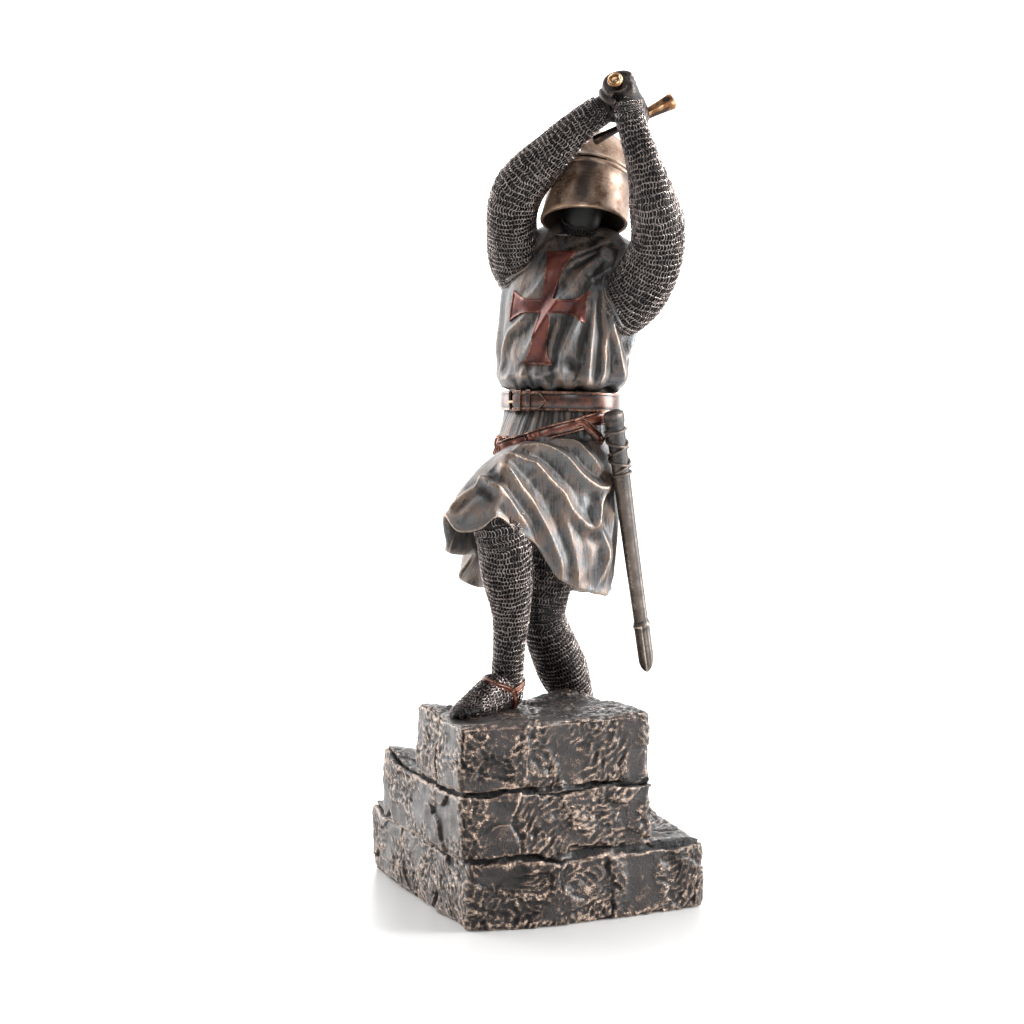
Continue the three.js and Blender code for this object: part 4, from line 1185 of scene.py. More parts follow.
class KNIGHT_OT_cross(Operator):
    """The flared cross on the breast, laid over its folds"""

    bl_idname = "knight.cross"
    bl_label = "Cross"

    def execute(self, context):
        cloth = skin_of(bpy.data.objects["surcoat_body"])
        centre = at(0.037, -0.043, 0.63)
        up = unit(Z - 0.16 * CHEST_FRONT + 0.13 * CHEST_LEFT)
        across_chest = unit(CHEST_LEFT - 0.02 * Z)
        upper, lower, right, left = 22.5 * MM, 24 * MM, 17.4 * MM, 16.4 * MM
        waist, tip = 2.7 * MM, 6.5 * MM
        steps, across = 44, 17
        points, faces, lines = [], [], []

        def grid(x, y, rim):
            start = len(points)
            rows, columns = x.shape
            for p, q, r in zip(x.ravel(), y.ravel(), rim.ravel()):
                origin = Vector(centre + across_chest * p + up * q + CHEST_FRONT * 60 * MM)
                hit, normal, _, _ = cloth.ray_cast(origin, Vector(-CHEST_FRONT))
                if hit is None:
                    raise RuntimeError("the cross misses the breast")
                points.append(hit + normal * (0.3 + 0.35 * r) * MM)
                lines.append(r)
            for i in range(rows - 1):
                for j in range(columns - 1):
                    a = start + i * columns + j
                    faces.append((a, a + 1, a + columns + 1, a + columns))

        v = np.linspace(-1, 1, across)
        s = np.linspace(0, 1, steps)
        for turn, length in enumerate((upper, left, lower, right)):
            out = waist + s * (length - waist)
            flare = np.clip((s - 0.5) / 0.5, 0, 1)
            half = waist + (tip - waist) * (0.1 * s + 0.9 * flare**1.6)
            rim = np.maximum(np.abs(v)[None, :] > 0.8, (s[:, None] > 0.96)).astype(float)
            x, y = half[:, None] * v[None, :], np.repeat(out[:, None], across, 1)
            c, d = round(math.cos(turn * math.pi / 2)), round(math.sin(turn * math.pi / 2))
            grid(x * c + y * d, -x * d + y * c, rim)
        x, y = np.meshgrid(v * waist, v * waist)
        grid(x, y, 0 * x)
        cross = new_piece("breast_cross", points, faces)
        attribute(cross, "line", lines)
        clean(cross, 0.05 * MM)
        facing = np.mean([f.normal.dot(Vector(CHEST_FRONT)) for f in cross.data.polygons])
        if facing < 0:
            in_edit_mode(cross, ("flip_normals", {}))
        apply_modifier(cross, "SOLIDIFY", thickness=1.1 * MM, offset=-1)
        rub(cross, fine=0.12, broad=0.2, reach=4, plain=0.42)
        attribute(cross, "wear_and_light", np.clip(values_of(cross) + 0.12 * values_of(cross, "line"), 0, 1))
        finish(cross, copper_patina(), smooth=50)
        return {"FINISHED"}


# Folds of the skirt: height and width in mm, sharpness, then directions and shares of the fall
SKIRT_FOLDS = [
    (2.4, 2.3, 0.6, [(212, 0.6), (215, 0.64), (221, 0.76), (226, 0.87), (234, 1.0)]),
    (2.6, 2.6, 0.6, [(219, 0.5), (227, 0.7), (234, 0.82), (241, 0.87), (248, 0.93), (250, 1.0)]),
    (
        2.6, 2.4, 0.6,
        [(226, 0.3), (231, 0.31), (240, 0.3), (252, 0.34), (262, 0.41), (275, 0.43), (289, 0.4), (300, 0.3)],
    ),
    (
        2.5, 2.3, 0.6,
        [(232, 0.5), (240, 0.57), (250, 0.61), (258, 0.68), (273, 0.69), (281, 0.53), (292, 0.4)],
    ),
    (1.8, 2.1, 0.5, [(238, 0.05), (250, 0.04), (262, 0.07), (271, 0.17), (288, 0.31)]),
    (2.2, 2.4, 0.5, [(277, 0.63), (284, 0.72), (288, 0.82), (278, 0.98)]),
    (1.5, 2.2, 0.5, [(246, 0.66), (254, 0.78), (260, 0.9), (262, 1.0)]),
    (1.5, 1.7, 0.6, [(215, 0.64), (221, 0.78), (223, 0.93)]),
    (1.5, 1.9, 0.6, [(215, 0.62), (209, 0.77), (205, 0.95)]),
    (1.2, 2.4, 0.4, [(216, 0.4), (226, 0.47), (236, 0.52)]),
    (2.0, 2.6, 0.5, [(302, 0.3), (298, 0.5), (294, 0.75), (290, 1.0)]),
    (2.2, 3.0, 0.5, [(318, 0.25), (314, 0.5), (308, 0.8), (306, 1.0)]),
    (2.0, 3.0, 0.5, [(334, 0.25), (330, 0.6), (326, 1.0)]),
    (1.8, 2.8, 0.4, [(196, 0.5), (194, 0.7), (190, 1.0)]),
    (2.0, 3.0, 0.4, [(178, 0.3), (176, 0.6), (172, 1.0)]),
    (2.0, 3.0, 0.4, [(160, 0.2), (157, 0.6), (152, 1.0)]),
]


def under_belt(degrees, row):
    """Cloth gathered between the belt and the skirt's shoulder, from the waist (0) down (1)."""
    a = np.radians(degrees)
    facing = np.radians(degrees - HIPS_FACE)
    waist_wide, waist_deep, gather_reach, gather_top, gather_fall = 0.0945, 0.0725, 0.096, 0.473, 0.049
    belt = 1 / np.hypot(np.sin(facing) / waist_wide, np.cos(facing) / waist_deep)
    bulge = bell(degrees, 190, 22)
    share = np.clip(row, 0, 1) ** 1.6
    swell = np.sin(math.pi * np.clip(row, 0, 1))
    r = HEIGHT * (belt * (1 - share) + gather_reach * share) + 1.9 * MM * bulge * swell
    round_it = np.stack([np.cos(a), np.sin(a), 0 * a], -1) * 26 * MM
    pleats = noise_at(round_it, 5.5 * MM) + 0.4 * noise_at(round_it, 2.2 * MM, seed=3)
    r = r + 0.55 * MM * pleats * np.sin(math.pi * np.clip(row * 0.9 + 0.05, 0, 1)) ** 0.5
    z = SOLE + HEIGHT * (gather_top - gather_fall * row)
    centre = WAIST + (HIPS - WAIST) * share
    return np.stack(np.broadcast_arrays(centre[0] + r * np.cos(a), centre[1] + r * np.sin(a), z), -1)


class KNIGHT_OT_skirt(Operator):
    """The skirt, gathered under the belt and thrown over the raised thigh, with its lining"""

    bl_idname = "knight.skirt"
    bl_label = "Skirt"

    def execute(self, context):
        around, down, up = 470, 80, 18
        degrees = 90 + np.arange(around) / around * 360
        wall, hem_radius = 2.0 * MM, 40 * MM
        rows = [under_belt(degrees, r) for r in np.linspace(-0.1, 0.94, 15)]
        t = np.linspace(0, 1, down)
        outer = np.array([skirt_surface(degrees, s) for s in t])
        flat = outer.reshape(-1, 3)
        out = np.gradient(outer, axis=0)
        side = np.roll(outer, -1, 1) - np.roll(outer, 1, 1)
        normal = unit(np.cross(out, side)).reshape(-1, 3)
        radial = np.stack([flat[:, 0] - HIPS[0], flat[:, 1] - HIPS[1], 0 * flat[:, 0]], -1)
        normal *= np.sign((normal * radial).sum(1) + normal[:, 2] * 1e-3)[:, None]
        depth = context.scene.knight_sizes.fold_depth
        lift = depth * fold_lift(flat, SKIRT_FOLDS, skirt_surface)
        share = np.repeat(t, around)
        turn = np.radians(np.tile(degrees, down))
        rear = np.clip(np.cos(turn - math.radians(60)), 0, 1)
        lift += 2.2 * MM * rear * share * np.cos(12 * turn + 0.8 * np.sin(3 * turn))
        lift += 0.3 * MM * noise_at(flat, 11 * MM, stretch=(1, 1, 1.8))
        lift += 0.07 * MM * noise_at(flat, 2.6 * MM, stretch=(1, 1, 2), seed=8)
        lift -= 0.9 * MM * (1 - share)
        lift += 0.55 * MM * bell(share, 1, 0.02)  # rolled hem
        hem_line = np.stack([hem_radius * np.cos(turn), hem_radius * np.sin(turn), 0 * turn], -1)
        hem = 0.7 * MM * noise_at(hem_line, 9 * MM)
        outer = (flat + normal * lift[:, None] + Z * (hem * share**4)[:, None]).reshape(down, around, 3)
        rows += list(outer)
        inward = normal.reshape(down, around, 3)
        drop = unit(outer[-1] - outer[-3])
        for inner, lower in ((0.2, 0.3), (0.5, 0.45), (0.85, 0.25)):  # the hem turns round to the lining
            rows.append(outer[-1] - inward[-1] * wall * inner + drop * lower * MM)
        index = np.linspace(down - 1, down * 0.42, up).astype(int)
        rows += [outer[i] - inward[i] * wall for i in index]
        skirt = loft("surcoat_skirt", np.array(rows))
        grain_of(skirt, HIPS, 42 * MM)
        rub(skirt, fine=0.14, broad=0.3, reach=8, plain=0.49, soft=2)
        # The gathers under the belt are painted darker, as shade that falls under the belt.
        high = np.clip((coordinates(skirt)[:, 2] - SOLE - 0.42 * HEIGHT) / (3 * MM), 0, 1)
        attribute(skirt, "wear_and_light", values_of(skirt) - 0.2 * high)
        finish(skirt, cloth_patina())
        return {"FINISHED"}


# Mail


def link_template(wire):
    """One link of cast mail: an open ring whose ends rise to meet the rows above and below."""
    turn = np.linspace(-1, 1, 6) * math.radians(122)
    path = np.stack([0.62 * np.cos(turn), 1.08 * np.sin(turn), 0.1 + 0.3 * np.sin(turn) ** 2], 1) * MM
    ahead = unit(np.gradient(path, axis=0))
    side = unit(np.cross(ahead, [0, 0, 1.0]))
    up = np.cross(side, ahead)
    around = [(math.cos(a), math.sin(a)) for a in (math.pi / 2, 7 * math.pi / 6, 11 * math.pi / 6)]
    points = np.concatenate([
        [p + wire * (s * c + u * h) for c, h in around]
        for p, s, u in zip(path, side, up)
    ])
    faces = []
    for i in range(5):
        for j in range(3):
            a, b = 3 * i + j, 3 * i + (j + 1) % 3
            faces.append((a, b, b + 3, a + 3))
    return points, np.array(faces)


def mail_places(limb, first, last, lift, pitch, row_pitch):
    """Where the links sit on a limb: origins and frames, row by row."""
    hand = np.random.default_rng(11)
    t = np.linspace(first, last, 400)
    run = np.append(0, np.cumsum(np.linalg.norm(np.diff(limb.frame(t)[0], axis=0), axis=1)))
    count = max(2, round(run[-1] / row_pitch))
    at_rows = np.interp((np.arange(count) + 0.5) / count * run[-1], run, t)
    step = (last - first) / count
    places = []
    for row, t_row in enumerate(at_rows):
        angle = np.linspace(0, TURN, 241)
        ring = limb.surface(angle, np.full(241, t_row), lift(angle, np.full(241, t_row)))
        girth = np.append(0, np.cumsum(np.linalg.norm(np.diff(ring, axis=0), axis=1)))
        links = max(5, round(girth[-1] / pitch))
        shift = 0.45 if row % 2 else 0.0
        turns = (np.arange(links) + shift + hand.uniform(-0.1, 0.1, links)) % links
        a = np.interp(turns / links * girth[-1], girth, angle)
        sway = 0.14 * np.sin(3 * a + 0.7 * row) + 0.1 * np.sin(7 * a - 1.1 * row)
        sway += hand.uniform(-0.06, 0.06, links)

        def point(da, dt):
            tt = np.full(links, t_row) + (sway + dt) * step
            return limb.surface(a + da, tt, lift(a + da, tt) - 0.6 * MM)

        origin = point(0, 0)
        u = point(0.02, 0) - point(-0.02, 0)
        v = point(0, 0.25) - point(0, -0.25)
        n = unit(np.cross(u, v))
        centre = limb.frame(np.full(links, t_row))[0]
        n *= np.sign((n * (origin - centre)).sum(1))[:, None]
        u = unit(u)
        lean = hand.uniform(-0.14, 0.14, links)[:, None]
        v_true = np.cross(n, u)
        u, v_true = u + lean * v_true, v_true - lean * u
        tall = np.clip(np.linalg.norm(v, axis=1) * 2 / row_pitch, 0.6, 1.4) * hand.uniform(0.92, 1.06, links)
        sign = -1.0 if row % 2 else 1.0
        broad = (girth[-1] / links / pitch) * hand.uniform(0.88, 1.1, links)[:, None]
        raised = hand.uniform(0.75, 1.2, links)[:, None]
        link_frame = [origin, sign * u * broad, sign * v_true * tall[:, None], n * raised]
        places.append(np.concatenate(link_frame, 1))
    return np.concatenate(places)


def mail_piece(name, limb, first, last, knight_skin, lift=None, floor=None, bright=1.0, buried=2.3 * MM):
    """A limb in mail: a dark undersurface with every link standing on it."""
    sizes = bpy.context.scene.knight_sizes
    lift = lift or (lambda angle, t: 0 * angle)
    places = mail_places(limb, first, last, lift, sizes.ring_pitch, sizes.row_pitch)
    origin = places[:, :3]
    shown = np.array([knight_skin.find_nearest(Vector(p))[3] < buried for p in origin])
    if floor is not None:
        shown &= (origin[:, 2] > floor + 0.35 * MM) & (places[:, 11] > -0.75)
    places = places[shown]
    points, faces = link_template(sizes.wire)
    frames = places[:, 3:].reshape(-1, 3, 3)
    if np.linalg.det(frames).mean() < 0:
        frames[:, 1] *= -1
    links = places[:, None, :3] + np.einsum("pk,nkc->npc", points, frames)
    count = len(points)
    faces = (faces[None] + (np.arange(len(places)) * count)[:, None, None]).reshape(-1, 4)
    mail = new_piece(name, links.reshape(-1, 3), faces.tolist())
    shine = np.interp(points[:, 2], [-0.1 * MM, 0.5 * MM], [0.3, 0.9])
    handled = np.random.default_rng(5).uniform(-0.16, 0.16, (len(places), 1))
    # Below 1, bright paints the links darker.
    attribute(mail, "wear_and_light", np.clip(bright * (shine + handled), 0, 1).ravel())
    base = loft(name + "_base", limb.rows(40, 90, lift=lift, wider=-1.0 * MM))
    if floor is not None:
        co = coordinates(base)
        co[:, 2] = np.maximum(co[:, 2], floor - 0.45 * MM)
        move_points(base, co)
    attribute(base, "wear_and_light", 0.04)
    whole = joined(name, [mail, base])
    finish(whole, mail_patina())
    return whole


def sleeve_sag(angle, t):
    """Soft bulges of heavy mail on an arm."""
    broad = 0.55 * MM * np.sin(math.pi * t) * np.cos(2 * angle + 9 * t)
    return broad + 0.35 * MM * np.cos(3 * angle - 14 * t)


class KNIGHT_OT_mail(Operator):
    """Sleeves, leggings, shoes and hood of mail"""

    bl_idname = "knight.mail"
    bl_label = "Mail"

    def execute(self, context):
        skin = skin_of(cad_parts["knight"])
        # Each limb with the shares of its length between which links show
        mail_piece("right_sleeve", RIGHT_ARM, 0.12, 0.92, skin, sleeve_sag, buried=3.6 * MM)
        mail_piece("left_sleeve", LEFT_ARM, 0.08, 0.995, skin, sleeve_sag, buried=3.6 * MM)
        mail_piece("right_legging", RIGHT_LEG, 0.265, 0.985, skin)
        # The left legging is painted darker, as shade that falls between the legs.
        mail_piece("left_legging", LEFT_LEG, 0.14, 0.985, skin, bright=0.9)
        mail_piece("right_shoe", RIGHT_FOOT, 0.03, 0.975, skin, floor=SOLE, bright=0.85, buried=5 * MM)
        mail_piece("left_shoe", LEFT_FOOT, 0.03, 0.975, skin, floor=REAR_SOLE)
        # The hood is painted much darker, as shade inside the helm.
        mail_piece("mail_hood", HOOD, 0.1, 0.66, skin, bright=0.4, buried=9 * MM)
        return {"FINISHED"}


# Gloves, helm, straps, sword and scabbard


def glove(name, centre, wrist, back_side):
    """A gloved fist: four fingers round the grip, the thumb over them, the back of the hand on one side."""
    forearm = unit(wrist - centre)
    heel = unit(forearm - SWORD_AXIS * (forearm @ SWORD_AXIS))
    back = np.cross(SWORD_AXIS, heel) * back_side

    def point(along_grip, out_heel, out_back, down_arm=0.0):
        level = SWORD_AXIS * along_grip + heel * out_heel + back * out_back
        return centre + (level + forearm * down_arm) * MM

    parts = []
    for i in range(4):
        turn = np.radians(np.linspace(105, 318, 17))
        reach = 5.3 + 0.35 * np.cos(3 * turn + 0.6) - 0.15 * abs(i - 1.5)
        path = [
            point((i - 1.5) * 2.9, r * math.cos(a) - 0.5, r * math.sin(a) + 0.5)
            for r, a in zip(reach, turn)
        ]
        parts.append(cord("finger", path, (1.8 - 0.08 * abs(i - 1.5)) * MM, around=12))
    turn = np.arange(20) / 20 * TURN
    core = []
    for s in np.linspace(-5.8, 5.6, 12):
        core.append([point(s, 4.0 * math.cos(a) - 0.2, 4.0 * math.sin(a) + 0.6) for a in turn])
    parts.append(loft("palm", core))
    flat_hand = Limb(
        [point(0, 0, 0, 10), point(0, 0, 1.2, 5.6), point(0, 1.0, 4.4, 0.8), point(0, -3.4, 4.2)],
        np.array([3.8, 4.4, 5.6, 5.5]) * MM / HEIGHT,
        np.array([3.4, 3.0, 2.6, 2.2]) * MM / HEIGHT,
        SWORD_AXIS,
        0.2,
    )
    parts.append(loft("back_of_hand", flat_hand.rows(28, 24)))
    ball = Limb(
        [point(0, 0, -0.6, 9), point(-0.6, 0.6, -1.6, 5), point(-1.0, 2.4, -3.2)],
        np.array([3.4, 3.6, 3.4]) * MM / HEIGHT,
        np.array([3.0, 3.0, 2.6]) * MM / HEIGHT,
        SWORD_AXIS,
        0.25,
    )
    parts.append(loft("ball_of_thumb", ball.rows(24, 16)))
    thumb = [point(-1.2, 5.0, -2.8), point(-2.6, 3.4, -5.0), point(-2.8, 0.2, -6.4), point(-2.0, -2.6, -6.4)]
    parts.append(cord("thumb", curve_points(np.array(thumb), np.linspace(0, 1, 10)), 1.9 * MM, around=12))
    hand = joined(name, parts)
    apply_modifier(hand, "REMESH", mode="VOXEL", voxel_size=GLOVE_VOXEL)
    apply_modifier(hand, "SMOOTH", factor=0.5, iterations=2)
    rub(hand, fine=0.22, broad=0.28, reach=5, plain=0.3)
    return finish(hand, glove_patina())


class KNIGHT_OT_gloves(Operator):
    """Both gloved fists on the grip"""

    bl_idname = "knight.gloves"
    bl_label = "Gloves"

    def execute(self, context):
        glove("left_glove", on_sword(POMMEL_THICK + 0.235 * GRIP_LENGTH), at(*LEFT_WRIST), -1)
        glove("right_glove", on_sword(POMMEL_THICK + 0.72 * GRIP_LENGTH), at(*RIGHT_WRIST), 1)
        return {"FINISHED"}


HELM_PROFILE = [
    (0.0655, 0.0), (0.0662, 0.0025), (0.0652, 0.006), (0.0642, 0.018), (0.0632, 0.034), (0.0618, 0.048),
    (0.0602, 0.0585), (0.0604, 0.0605), (0.0622, 0.062), (0.063, 0.0645), (0.0622, 0.067), (0.0592, 0.0685),
    (0.0585, 0.0705), (0.0598, 0.072), (0.0603, 0.0742), (0.0592, 0.0765), (0.0568, 0.078),
    (0.0556, 0.0805), (0.0532, 0.089), (0.0502, 0.1), (0.0468, 0.11), (0.043, 0.1185), (0.0375, 0.1255),
    (0.0295, 0.13), (0.0185, 0.1325), (0.008, 0.1332), (0.0, 0.1333),
]


class KNIGHT_OT_helm(Operator):
    """The domed helm, with its brow band, slits and breath holes"""

    bl_idname = "knight.helm"
    bl_label = "Helm"

    def execute(self, context):
        wall = 1.3 * MM
        outside = [(r * 1.04 * HEIGHT, z * HEIGHT) for r, z in HELM_PROFILE]
        # The inside follows the outside, but runs straight behind the brow band.
        inside = []
        for r, z in outside:
            if z < 0.055 * HEIGHT or z > 0.078 * HEIGHT:
                inside.append((max(r - wall, 0.0), z - (0 if z < 0.1 * HEIGHT else wall)))
        inside[-1] = (0.0, outside[-1][1] - 1.6 * wall)
        helm = spun("great_helm", outside[::-1] + inside, 128)
        # Cutters: two eye slits and the rows of breath holes
        cutters = []
        for side in (-1, 1):
            turn = side * 0.46
            deselect()
            reach = 0.058 * HEIGHT
            slit = (reach * math.cos(turn), reach * math.sin(turn), 0.0695 * HEIGHT)
            size = (6 * MM, 11 * MM, 1.0 * MM)
            bpy.ops.mesh.primitive_cube_add(size=1, location=slit, rotation=(0, 0, turn), scale=size)
            cutters.append(bpy.context.object)
            for column in range(3 if side < 0 else 0):
                for row in range(3):
                    turn = side * (0.17 + 0.095 * column)
                    reach = 0.063 * HEIGHT
                    hole = (reach * math.cos(turn), reach * math.sin(turn), (0.02 + 0.0085 * row) * HEIGHT)
                    deselect()
                    bpy.ops.mesh.primitive_cylinder_add(
                        vertices=10, radius=0.6 * MM, depth=6 * MM,
                        location=hole, rotation=(0, math.pi / 2, turn),
                    )
                    cutters.append(bpy.context.object)
        for cutter in cutters:
            make_active(cutter)
            bpy.ops.object.transform_apply(location=True, rotation=True, scale=True)
        cutter = joined("helm_cutters", cutters)
        apply_modifier(helm, "BOOLEAN", operation="DIFFERENCE", object=cutter, solver="EXACT")
        bpy.data.objects.remove(cutter)
        attribute(helm, "turned", coordinates(helm)[:, 2])
        co = coordinates(helm)
        radius = np.hypot(co[:, 0], co[:, 1])
        outer = np.interp(co[:, 2], [z for _, z in outside], [r for r, _ in outside])
        level = co[:, 2] / HEIGHT
        wear_and_light = 0.48
        # Lines round the helm: height, half width and how much lighter, as shares
        band_edges = ((0.0645, 0.0022, 0.3), (0.0742, 0.0022, 0.3), (0.0, 0.003, 0.3))
        grooves = ((0.0697, 0.0016, -0.42), (0.0585, 0.0025, -0.21), (0.0795, 0.002, -0.252))
        for middle, width, lighter in band_edges + grooves:
            wear_and_light = wear_and_light + lighter * bell(level, middle, width)
        # The barrel is painted with a highlight on its right cheek; it is darker on its far side and has a
        # soft dark streak beside the middle.
        patches = noise_at(co * [1, 1, 0.15], 5 * MM, seed=2)
        patches += 0.5 * noise_at(co * [1, 1, 0.3], 2 * MM, seed=5)
        wander = noise_at(co * [0, 0, 1], 5 * MM, seed=8)
        beside = np.degrees(np.arctan2(co[:, 1], co[:, 0])) - 22 - 6 * wander
        dark = bell(beside, 0, 14) * np.clip(level / 0.008, 0, 1)
        light = bell(beside, -52, 26)
        far = bell(beside, 62, 24)
        barrel = 0.04 + 0.1 * patches - 0.62 * dark + 0.3 * light - 0.3 * far
        wear_and_light += np.where(level > 0.0785, 0.14 + 0.08 * patches, barrel)
        # The inside is painted near-black, as shade inside the helm.
        wear_and_light[radius < outer - 0.5 * wall] = 0.02
        attribute(helm, "wear_and_light", np.clip(wear_and_light, 0, 1))
        # The face plate hangs lower than the neck.
        turn = np.arctan2(co[:, 1], co[:, 0])
        fall = np.clip(1 - level / 0.058, 0, 1)
        co[:, 2] -= fall * (3.9 + 2.1 * np.cos(turn - math.radians(HELM_LOW - HELM_FACE))) * MM
        move_points(helm, co)
        place_on_axis(helm, HELM_RIM, HELM_UP, along(HELM_FACE))
        finish(helm, helm_patina(), smooth=35)
        return {"FINISHED"}


def hoop(centre, up, right, wide, deep, count):
    """Points of an oval round an axis, and the directions out of it."""
    z = unit(np.asarray(up, float))
    y = unit(np.cross(z, right))
    x = np.cross(y, z)
    turn = np.arange(count) / count * TURN
    points = centre + x * (np.cos(turn) * wide)[:, None] + y * (np.sin(turn) * deep)[:, None]
    out = x * (np.cos(turn) * deep)[:, None] + y * (np.sin(turn) * wide)[:, None]
    return points, unit(out)


SLUNG_COURSE = [
    (200, -17.8), (208, -16.2), (220, -14.0), (232, -12), (245, -10.4), (260, -8.8), (273, -7.2), (287, -6),
    (310, -5), (340, -6), (380, -9), (440, -13), (500, -15.5), (540, -17), (560, -17.8),
]


class KNIGHT_OT_belts(Operator):
    """Waist belt with its buckle and tongue, and the slung strap with its knot"""

    bl_idname = "knight.belts"
    bl_label = "Belts"

    def execute(self, context):
        wide, deep = 0.0985 * HEIGHT, 0.0765 * HEIGHT
        up = unit(np.array([0.04, 0.03, 1]))
        facing = unit(np.cross(up, HIPS_LEFT))
        right = np.cross(facing, up)

        def on_belt(degrees, height, lift):
            """A place on the waist belt's face, height and lift in mm."""
            way = along(degrees)
            turn = np.arctan2((way @ facing) / deep, (way @ right) / wide)
            out = unit(right * np.cos(turn) * deep + facing * np.sin(turn) * wide)
            place = WAIST + right * np.cos(turn) * wide + facing * np.sin(turn) * deep
            return place + up * height * MM + out * lift * MM, out

        def strip(name, start, end, width, lift, thick, point=0.0):
            """A length of strap lying on the belt, with a pointed end if asked."""
            places = [on_belt(d, 0.0, lift) for d in np.linspace(start, end, 24)]
            narrow = np.ones(24)
            if point:
                narrow = np.clip((1 - np.linspace(0, 1, 24)) / point, 0.12, 1)
            return ribbon(
                name, [p for p, _ in places], [o for _, o in places], width * MM * narrow, thick * MM,
                loop=False,
            )

        points, out = hoop(WAIST, up, HIPS_LEFT, wide, deep, 120)
        parts = [ribbon("belt", points, out, 8 * MM, 1.1 * MM)]
        parts.append(strip("tongue", 192, 233, 7.2, 1.1, 1.0, point=0.2))
        parts.append(strip("keeper", 209, 214, 8.8, 1.8, 1.0))
        parts.append(strip("fold", 190, 201, 8.2, 1.8, 1.0))
        belts = joined("waist_belt", parts)
        rub(belts, fine=0.36, broad=0.25, reach=3, plain=0.42)
        finish(belts, leather_patina(), smooth=40)

        corners = ((183, -3.8), (182, 3.8), (188, 4.1), (193, 3.9), (193, -3.9), (188, -4.1), (183, -3.8))
        frame_path = [on_belt(degrees, height, 1.4)[0] for degrees, height in corners]
        frame_line = curve_points(frame_path, np.linspace(0, 1, 60, endpoint=False))
        frame_ring = cord("frame", frame_line, 0.75 * MM, loop=True)
        attribute(frame_ring, "wear_and_light", 0.25)
        prong = cord("prong", [on_belt(d, -0.6, 2.2)[0] for d in np.linspace(181, 193, 8)], 0.6 * MM)
        attribute(prong, "wear_and_light", 0.7)
        buckle = joined("belt_buckle", [frame_ring, prong])
        finish(buckle, gold_bronze())

        cloth = skin_of(bpy.data.objects["surcoat_skirt"])

        def lay(name, course, width, thick, lift):
            """A strap laid round the hips: its course gives directions and heights over the waist in mm."""
            course = np.array(course, float)
            s = np.linspace(0, 1, 14 * len(course))
            places, outs = [], []
            for degrees, height in zip(through(course[:, 0], s), through(course[:, 1], s)):
                way = along(degrees)
                start = WAIST + Z * height * MM + way * 60 * MM
                hit, _, _, _ = cloth.ray_cast(Vector(start), Vector(-way))
                places.append(np.array(hit) + way * lift * MM)
                outs.append(way)
            return ribbon(name, evened(places, 12), outs, width * MM, thick * MM, loop=False)

        branch = [(262, -8.2), (268, -7.6), (275, -10), (281, -12.6), (289, -15.6)]
        parts = [lay("strap", SLUNG_COURSE, 5.4, 1.5, 0.5), lay("branch", branch, 3.6, 1.5, 0.9)]
        knot_at = WAIST + along(192) * 27.3 * MM - Z * 16.4 * MM
        face_out = along(212)
        side = unit(np.cross(Z, face_out))

        def bight(x, z, wide_mm, tall, lean, depth):
            """A loop of strap standing off the knot, x and z mm from it."""
            turn = np.arange(28) / 28 * TURN
            u = side * math.cos(lean) + Z * math.sin(lean)
            v = Z * math.cos(lean) - side * math.sin(lean)
            centre = knot_at + (side * x + Z * z + face_out * depth) * MM
            path = centre + (u * (np.cos(turn) * wide_mm)[:, None] + v * (np.sin(turn) * tall)[:, None]) * MM
            outs = u * np.cos(turn)[:, None] + v * np.sin(turn)[:, None] + face_out * 0.8
            return ribbon("bight", path, outs, 1.7 * MM, 0.9 * MM)

        parts.append(bight(-1.2, -0.6, 1.7, 3.0, 0.25, 1.6))
        parts.append(bight(1.9, 0.4, 1.4, 2.3, -0.5, 2.2))
        bar = [side * s * 1.4 + Z * (1.2 - abs(s)) + face_out * 3.0 for s in np.linspace(-1, 1, 7)]
        parts.append(cord("knot", [knot_at + p * MM for p in bar], 0.95 * MM))
        for drift, fall in ((0.5, 7.0), (-0.35, 4.5)):
            tail = []
            for s in np.linspace(0, 1, 12):
                stand = face_out * (2.4 + 1.4 * s + 0.5 * math.sin(4 * s))
                tail.append(knot_at + (side * drift * s * 6 - Z * s * fall + stand) * MM)
            parts.append(ribbon("tail", tail, np.tile(face_out, (12, 1)), 2.2 * MM, 0.9 * MM, loop=False))
        straps = joined("slung_strap", parts)
        rub(straps, fine=0.34, broad=0.25, reach=3, plain=0.46)
        finish(straps, strap_patina(), smooth=40)
        return {"FINISHED"}


